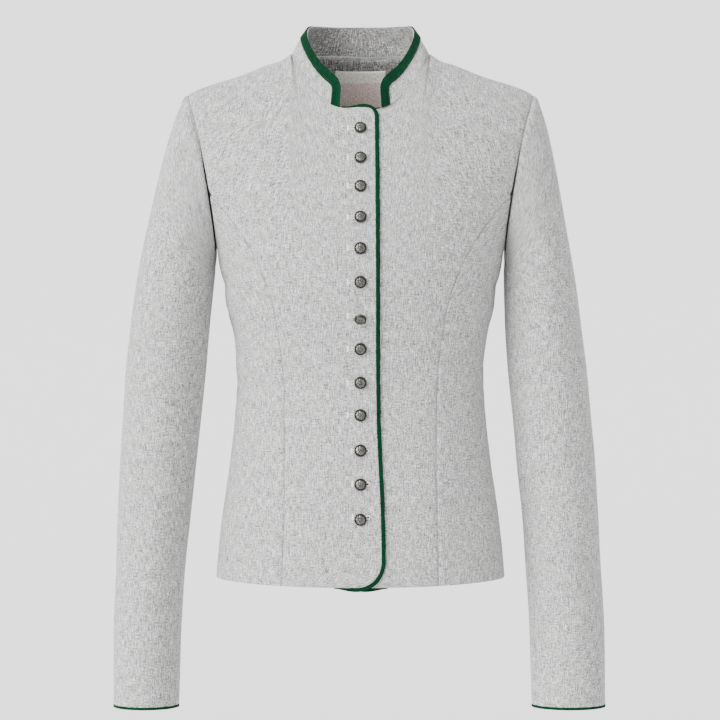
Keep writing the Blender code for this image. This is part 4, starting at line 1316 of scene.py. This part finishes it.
def make_buttonholes(cloth, thread, dark):
    """Thirteen worked buttonholes: a slit, a ring of stitches and a bar at the outer end."""
    slit = np.linspace(HOLE_START + SLIT_SHIFT, HOLE_STOP + SLIT_SHIFT, SLIT_STEPS)
    half = HOLE_HALF + EYE_WIDENING * smooth_step((slit - HOLE_STOP + 2.2) / 1.6)
    up = np.linspace(-BAR_HALF, BAR_HALF, BAR_STEPS)
    rings, bars, places, faces, uv = [], [], [], [], []
    for number, height in enumerate(BUTTON_LEVELS, 1):
        level = height + HOLE_RISE.get(number, HOLE_WANDER * math.sin(2.7 * number))
        slide = HOLE_SLIDE.get(number, 0.0)
        rings.append(hole_path(cloth, slide, level, HOLE_HALF + STITCH_DEEP / 2))
        bars.append(on_front(cloth, slide + HOLE_START - BAR_GAP, level + up, BAR_LIFT))
        base = len(places)
        for out, edge in zip(slit, half):
            for side in (-edge, edge):
                places.append(on_front(cloth, slide + out, level + side, SLIT_LIFT)[0])
                uv.append((out + 40 * number, side))
        starts = range(base, len(places) - 2, 2)
        faces += [(start, start + 2, start + 3, start + 1) for start in starts]
    tree = stitch_tree("buttonhole stitches", thread)
    for name, paths, sizes, seed in (("thread_buttonholes", rings, RING_STITCH, RING_SEED),
                                     ("thread_buttonhole_bars", bars, BAR_STITCH, BAR_SEED)):
        finish(stitch_paths(name, paths, tree, thread, sizes, seed), "grey_wool")
    finish(make_object("buttonhole_slits", places, faces, dark, uv), "grey_wool")


def band_stitches(thread):
    """Fine stitches that hold the band down, just inside its lower edge."""
    edge, inside = band_paths(collar_lengths()[1][-1])
    line = inside + (edge - inside) * BAND_STITCH_IN
    _, points, normals = on_collar(line, SEAM + BAND_THICK - THREAD_SUNK)
    tree = stitch_tree("band stitches", thread)
    stitches = stitch_paths("thread_band", [(points, normals)], tree, thread, BAND_STITCH, BAND_SEED)
    finish(stitches, "green_felt")


# Finishes, and the tones of wool, felt and threads from dark to light, and of pewter as it darkens
WOOL = ((0.05, 0.05, 0.048), (0.41, 0.41, 0.404), (0.85, 0.85, 0.84))
# A darker copy of the same wool: painted shade for the inside of the collar and the neck facing
WOOL_PAINTED_SHADE = ((0.016, 0.016, 0.015), (0.2, 0.198, 0.192), (0.58, 0.575, 0.56))
PALE_THREAD = ((0.93, 0.93, 0.91), (1.0, 1.0, 0.99))
GREEN_THREAD = ((0.002, 0.03, 0.014), (0.01, 0.09, 0.045))
FELT = ((0.0, 0.011, 0.004), (0.001, 0.028, 0.011), (0.003, 0.052, 0.023))
LABEL_CREAM, LABEL_ROSE = (0.98, 0.95, 0.88), (0.86, 0.70, 0.64)
LABEL_SHADES = ((0.62, 0.58, 0.56), (0.93, 0.92, 0.91), (1.25, 1.25, 1.24))
PEWTER = ((0.22, 0.212, 0.195), (0.08, 0.077, 0.07), (0.022, 0.021, 0.019), (0.005, 0.005, 0.004))


class Finish:
    """A Principled material and short ways to add nodes to it."""

    def __init__(self, name, colour, roughness, metallic=0.0, sheen=0.0, sheen_roughness=0.5, gloss=0.5):
        self.material = bpy.data.materials.new(name)
        self.material.use_nodes = True
        self.nodes = self.material.node_tree.nodes
        self.links = self.material.node_tree.links
        self.shader = self.nodes["Principled BSDF"]
        self.shader.inputs["Base Color"].default_value = (*colour, 1.0)
        self.shader.inputs["Roughness"].default_value = roughness
        self.shader.inputs["Metallic"].default_value = metallic
        self.shader.inputs["Specular IOR Level"].default_value = gloss
        self.shader.inputs["Sheen Weight"].default_value = sheen
        self.shader.inputs["Sheen Roughness"].default_value = sheen_roughness

    def place(self, source, scale):
        """The piece's own uv in metres, or its Object coordinates, stretched."""
        if source == "uv":
            start = self.nodes.new("ShaderNodeUVMap")
            start.uv_map = "cloth"
            out = start.outputs["UV"]
        else:
            start = self.nodes.new("ShaderNodeTexCoord")
            out = start.outputs["Object"]
        mapping = self.nodes.new("ShaderNodeMapping")
        mapping.inputs["Scale"].default_value = scale
        self.links.new(out, mapping.inputs["Vector"])
        return mapping.outputs["Vector"]

    def noise(self, stretch, scale, detail=2.0, roughness=0.5, distortion=0.0, source="uv"):
        """Fine uneven grain, drawn out where the stretch is small."""
        node = self.nodes.new("ShaderNodeTexNoise")
        node.inputs["Scale"].default_value = scale
        node.inputs["Detail"].default_value = detail
        node.inputs["Roughness"].default_value = roughness
        node.inputs["Distortion"].default_value = distortion
        self.links.new(self.place(source, stretch), node.inputs["Vector"])
        return node.outputs["Fac"]

    def ramp(self, value, stops):
        """Colours at places along a texture's range."""
        stops = tuple(stops)
        node = self.nodes.new("ShaderNodeValToRGB")
        band = node.color_ramp
        while len(band.elements) < len(stops):
            band.elements.new(0.5)
        for element, (place, colour) in zip(band.elements, stops):
            element.position = place
            element.color = (*colour, 1.0)
        self.links.new(value, node.inputs["Fac"])
        return node.outputs["Color"]

    def mix(self, share, first, second, way="MIX"):
        """Two colours mixed by a share, each a texture or a plain value."""
        node = self.nodes.new("ShaderNodeMix")
        node.data_type = "RGBA"
        node.blend_type = way
        for socket, value in zip((node.inputs[0], node.inputs[6], node.inputs[7]), (share, first, second)):
            if isinstance(value, bpy.types.NodeSocket):
                self.links.new(value, socket)
            elif isinstance(value, tuple):
                socket.default_value = (*value, 1.0)
            else:
                socket.default_value = value
        return node.outputs[2]

    def sums(self, weights):
        """Weighted sum of several textures."""
        total = None
        for value, weight in weights:
            node = self.nodes.new("ShaderNodeMath")
            node.operation = "MULTIPLY_ADD"
            self.links.new(value, node.inputs[0])
            node.inputs[1].default_value = weight
            if total is None:
                node.inputs[2].default_value = 0.0
            else:
                self.links.new(total, node.inputs[2])
            total = node.outputs[0]
        return total

    def colour(self, value):
        self.links.new(value, self.shader.inputs["Base Color"])

    def bump(self, height, distance, strength=1.0):
        node = self.nodes.new("ShaderNodeBump")
        node.inputs["Distance"].default_value = distance
        node.inputs["Strength"].default_value = strength
        self.links.new(height, node.inputs["Height"])
        self.links.new(node.outputs["Normal"], self.shader.inputs["Normal"])


def grey_wool(name, dark, middle, light):
    """Melange of pale and grey fibres, drawn out along the warp, with a felted nap."""
    cloth = Finish(name, middle, roughness=0.92, sheen=0.14, sheen_roughness=0.6, gloss=0.25)
    flecks = cloth.noise((1.0, 0.62, 1.0), scale=900.0, detail=3.0, roughness=0.6)
    warp = cloth.noise((1.0, 0.13, 1.0), scale=850.0, detail=2.0, roughness=0.5)
    weft = cloth.noise((0.2, 1.0, 1.0), scale=760.0, detail=2.0, roughness=0.5)
    slubs = cloth.noise((1.0, 0.3, 1.0), scale=330.0, detail=2.0, roughness=0.5)
    clouds = cloth.noise((1.0, 0.7, 1.0), scale=90.0, detail=3.0, roughness=0.6)
    mixed = cloth.sums(((flecks, 0.50), (warp, 0.33), (weft, 0.22), (slubs, 0.10), (clouds, 0.08)))
    base = cloth.ramp(mixed, ((0.47, dark), (0.615, middle), (0.74, light)))
    specks = cloth.noise((1.0, 0.45, 1.0), scale=900.0, detail=2.0, roughness=0.6)
    dots = cloth.ramp(specks, ((0.29, (0.8, 0.8, 0.8)), (0.38, (0.0, 0.0, 0.0))))
    cloth.colour(cloth.mix(dots, base, dark))
    nap = cloth.noise((1.0, 0.55, 1.0), scale=2600.0, detail=3.0, roughness=0.65, distortion=0.6)
    relief = cloth.sums(((nap, 0.5), (flecks, 0.5), (warp, 0.45), (weft, 0.25)))
    cloth.bump(relief, distance=0.0007, strength=0.9)
    return cloth.material


def green_felt():
    """Dense felt: one deep green, a little uneven, with a short nap."""
    felt = Finish("green_felt", (0.004, 0.045, 0.018), roughness=0.95, sheen=0.01, gloss=0.08)
    fibres = felt.noise((1.0, 0.6, 1.0), scale=1300.0, detail=3.0, roughness=0.6)
    clouds = felt.noise((1.0, 1.0, 1.0), scale=160.0, detail=2.0, roughness=0.5)
    mixed = felt.sums(((fibres, 0.7), (clouds, 0.3)))
    felt.colour(felt.ramp(mixed, zip((0.36, 0.5, 0.64), FELT)))
    felt.bump(fibres, distance=0.0003, strength=0.7)
    return felt.material


def woven_label():
    """Plain woven label: cream borders above and below a rose ground, fine ribs across."""
    label = Finish("woven_label", (0.56, 0.48, 0.44), roughness=0.7, sheen=0.1)
    uv = label.nodes.new("ShaderNodeUVMap")
    uv.uv_map = "cloth"
    parts = label.nodes.new("ShaderNodeSeparateXYZ")
    label.links.new(uv.outputs["UV"], parts.inputs[0])
    high = label.nodes.new("ShaderNodeMapRange")
    high.inputs["From Max"].default_value = LABEL_CUT[1]
    label.links.new(parts.outputs["Y"], high.inputs["Value"])
    ground = label.ramp(high.outputs[0], ((0.12, LABEL_CREAM), (0.16, LABEL_ROSE),
                                          (0.87, LABEL_ROSE), (0.90, LABEL_CREAM)))
    ribs = label.noise((0.25, 1.0, 1.0), scale=1500.0, detail=2.0, roughness=0.5)
    threads = label.noise((1.0, 0.5, 1.0), scale=700.0, detail=3.0, roughness=0.6)
    weave = label.sums(((ribs, 0.5), (threads, 0.5)))
    shade = label.ramp(weave, zip((0.36, 0.5, 0.62), LABEL_SHADES))
    label.colour(label.mix(1.0, ground, shade, "MULTIPLY"))
    label.bump(label.sums(((ribs, 0.6), (threads, 0.5))), distance=0.00025, strength=0.7)
    return label.material


def old_pewter():
    """Cast pewter, rubbed bright on the raised parts and black in its hollows."""
    metal = Finish("old_pewter", (0.2, 0.19, 0.17), roughness=0.42, metallic=1.0)
    hollow = metal.nodes.new("ShaderNodeAttribute")
    hollow.attribute_name = "hollow"
    grain = metal.noise((1.0, 1.0, 1.0), scale=1500.0, detail=3.0, roughness=0.6, source="object")
    stain = metal.noise((1.0, 1.0, 1.0), scale=380.0, detail=3.0, roughness=0.6, source="object")
    wear = metal.sums(((hollow.outputs["Fac"], 0.7), (grain, 0.25), (stain, 0.35)))
    metal.colour(metal.ramp(wear, zip((0.2, 0.38, 0.7, 1.0), PEWTER)))
    rough = metal.nodes.new("ShaderNodeMapRange")
    rough.inputs["From Min"].default_value = 0.2
    rough.inputs["To Min"].default_value = 0.24
    rough.inputs["To Max"].default_value = 0.62
    metal.links.new(wear, rough.inputs["Value"])
    metal.links.new(rough.outputs[0], metal.shader.inputs["Roughness"])
    metal.bump(metal.sums(((grain, 0.5), (stain, 0.5))), distance=0.00012, strength=0.6)
    return metal.material


def sewing_thread(name, dark, light):
    """Two tones of twisted strands."""
    thread = Finish(name, light, roughness=0.6, sheen=0.15)
    strands = thread.noise((1.0, 1.0, 1.0), scale=2400.0, detail=2.0, roughness=0.6, source="object")
    thread.colour(thread.ramp(strands, ((0.35, dark), (0.6, light))))
    thread.bump(strands, distance=0.0001, strength=0.6)
    return thread.material


def slit_shadow():
    """Inside of the cut buttonholes: the wool's own fibres in deep shade."""
    dark = Finish("slit_shadow", (0.03, 0.03, 0.03), roughness=1.0)
    fibres = dark.noise((1.0, 1.0, 1.0), scale=1500.0, detail=2.0, roughness=0.5)
    dark.colour(dark.ramp(fibres, ((0.35, (0.012, 0.012, 0.012)), (0.65, (0.06, 0.06, 0.058)))))
    dark.bump(fibres, distance=0.0002, strength=0.5)
    return dark.material


# Camera, light and floor, in metres and degrees
CAMERA_AWAY = 3.4
CAMERA_LEVEL = -0.2968
CAMERA_OUT = -0.0005
LENS = 160.4
SENSOR = 36.0
FLOOR_LEVEL = -1.35
WALL_AWAY = 6.0
SWEEP_RADIUS = 2.0
WALL_HEIGHT = 8.0
SWEEP_STEPS = 16
STAGE_HALF = 9.0
PAPER = (0.88, 0.88, 0.88)
WORLD_LIGHT = 1.18
SUNS = (("key", 5.3, 46.0, (0.80, 0.64, -0.46)),
        ("fill", 0.1, 70.0, (-0.75, 0.6, -0.1)))


def make_camera():
    data = bpy.data.cameras.new("camera")
    data.sensor_width = SENSOR
    data.lens = LENS
    data.clip_end = 40.0
    camera = bpy.data.objects.new("camera", data)
    camera.location = (CAMERA_OUT, -CAMERA_AWAY, CAMERA_LEVEL)
    camera.rotation_euler = (math.pi / 2, 0.0, 0.0)
    bpy.context.scene.collection.objects.link(camera)
    bpy.context.scene.camera = camera


def make_stage():
    """A pale floor that rises in one sweep into the wall behind."""
    profile = [(-STAGE_HALF, 0.0)]
    for k in range(SWEEP_STEPS + 1):
        angle = math.pi / 2 * k / SWEEP_STEPS
        profile.append((WALL_AWAY - SWEEP_RADIUS * (1 - math.sin(angle)),
                        SWEEP_RADIUS * (1 - math.cos(angle))))
    profile.append((WALL_AWAY, WALL_HEIGHT))
    mesh = bpy.data.meshes.new("floor")
    vertices = [(x, y, FLOOR_LEVEL + z) for y, z in profile for x in (-STAGE_HALF, STAGE_HALF)]
    faces = [(2 * k, 2 * k + 1, 2 * k + 3, 2 * k + 2) for k in range(len(profile) - 1)]
    mesh.from_pydata(vertices, [], faces)
    mesh.shade_smooth()
    paper = Finish("studio_paper", PAPER, roughness=1.0)
    grain = paper.noise((1.0, 1.0, 1.0), scale=14.0, detail=2.0, roughness=0.5, source="object")
    paper.colour(paper.ramp(grain, ((0.3, (0.875, 0.875, 0.875)), (0.7, (0.885, 0.885, 0.885)))))
    mesh.materials.append(paper.material)
    floor = bpy.data.objects.new("floor", mesh)
    bpy.context.scene.collection.objects.link(floor)


def make_lights():
    """A white sky and two wide suns, each pointing along its last three numbers."""
    scene = bpy.context.scene
    world = bpy.data.worlds.new("studio")
    world.use_nodes = True
    world.node_tree.nodes["Background"].inputs["Color"].default_value = (1.0, 1.0, 1.0, 1.0)
    world.node_tree.nodes["Background"].inputs["Strength"].default_value = WORLD_LIGHT
    scene.world = world
    for name, strength, angle, towards in SUNS:
        data = bpy.data.lights.new(name, "SUN")
        data.energy = strength
        data.angle = math.radians(angle)
        lamp = bpy.data.objects.new(name, data)
        lamp.rotation_mode = "QUATERNION"
        lamp.rotation_quaternion = Vector(towards).to_track_quat("-Z", "Y")
        scene.collection.objects.link(lamp)


# Cut of the label, in metres: width and length
LABEL_CUT = (0.056, 0.054)


def main():
    make_camera()
    make_stage()
    make_lights()
    wool = grey_wool("grey_wool", *WOOL)
    wool_painted_shade = grey_wool("grey_wool_painted_shade", *WOOL_PAINTED_SHADE)
    felt = green_felt()
    thread = sewing_thread("buttonhole_thread", *PALE_THREAD)
    green_thread = sewing_thread("green_thread", *GREEN_THREAD)
    pewter = old_pewter()

    fronts = {}
    for word, side in (("right", -1), ("left", 1)):
        panel = make_front(word, side, wool)
        fronts[word] = panel[0]
        make_front_edging(word, side, panel, felt)
        make_side(word, FRONT, side, wool)
        make_side(word, BACK, side, wool)
        make_sleeve(word, side, wool)
        make_cuff_edging(word, side, felt)
    make_back(wool)
    make_collar(wool, wool_painted_shade)
    make_band(felt)
    under_back = CLOTH + SEAM
    neck = neck_across() / BACK_NECK_COLUMNS
    # The neck facing is made in the darker wool: painted shade inside the neck
    back_patch("wool_neck_facing", "neck_facing", "grey_wool", (meeting_row(BACK), FACING_TOP),
               neck * FACING_COLUMNS, under_back, FACING_THICK, wool_painted_shade)
    back_patch("woven_label", "label", "woven_label", LABEL_ROWS, neck * LABEL_COLUMNS,
               under_back + FACING_THICK + SEAM, LABEL_THICK, woven_label(), 0.12)
    cloth = cloth_tree(fronts["right"])
    for number, level in enumerate(BUTTON_LEVELS, 1):
        make_button(number, level, cloth, pewter)
    make_buttonholes(cloth, thread, slit_shadow())
    band_stitches(green_thread)


main()
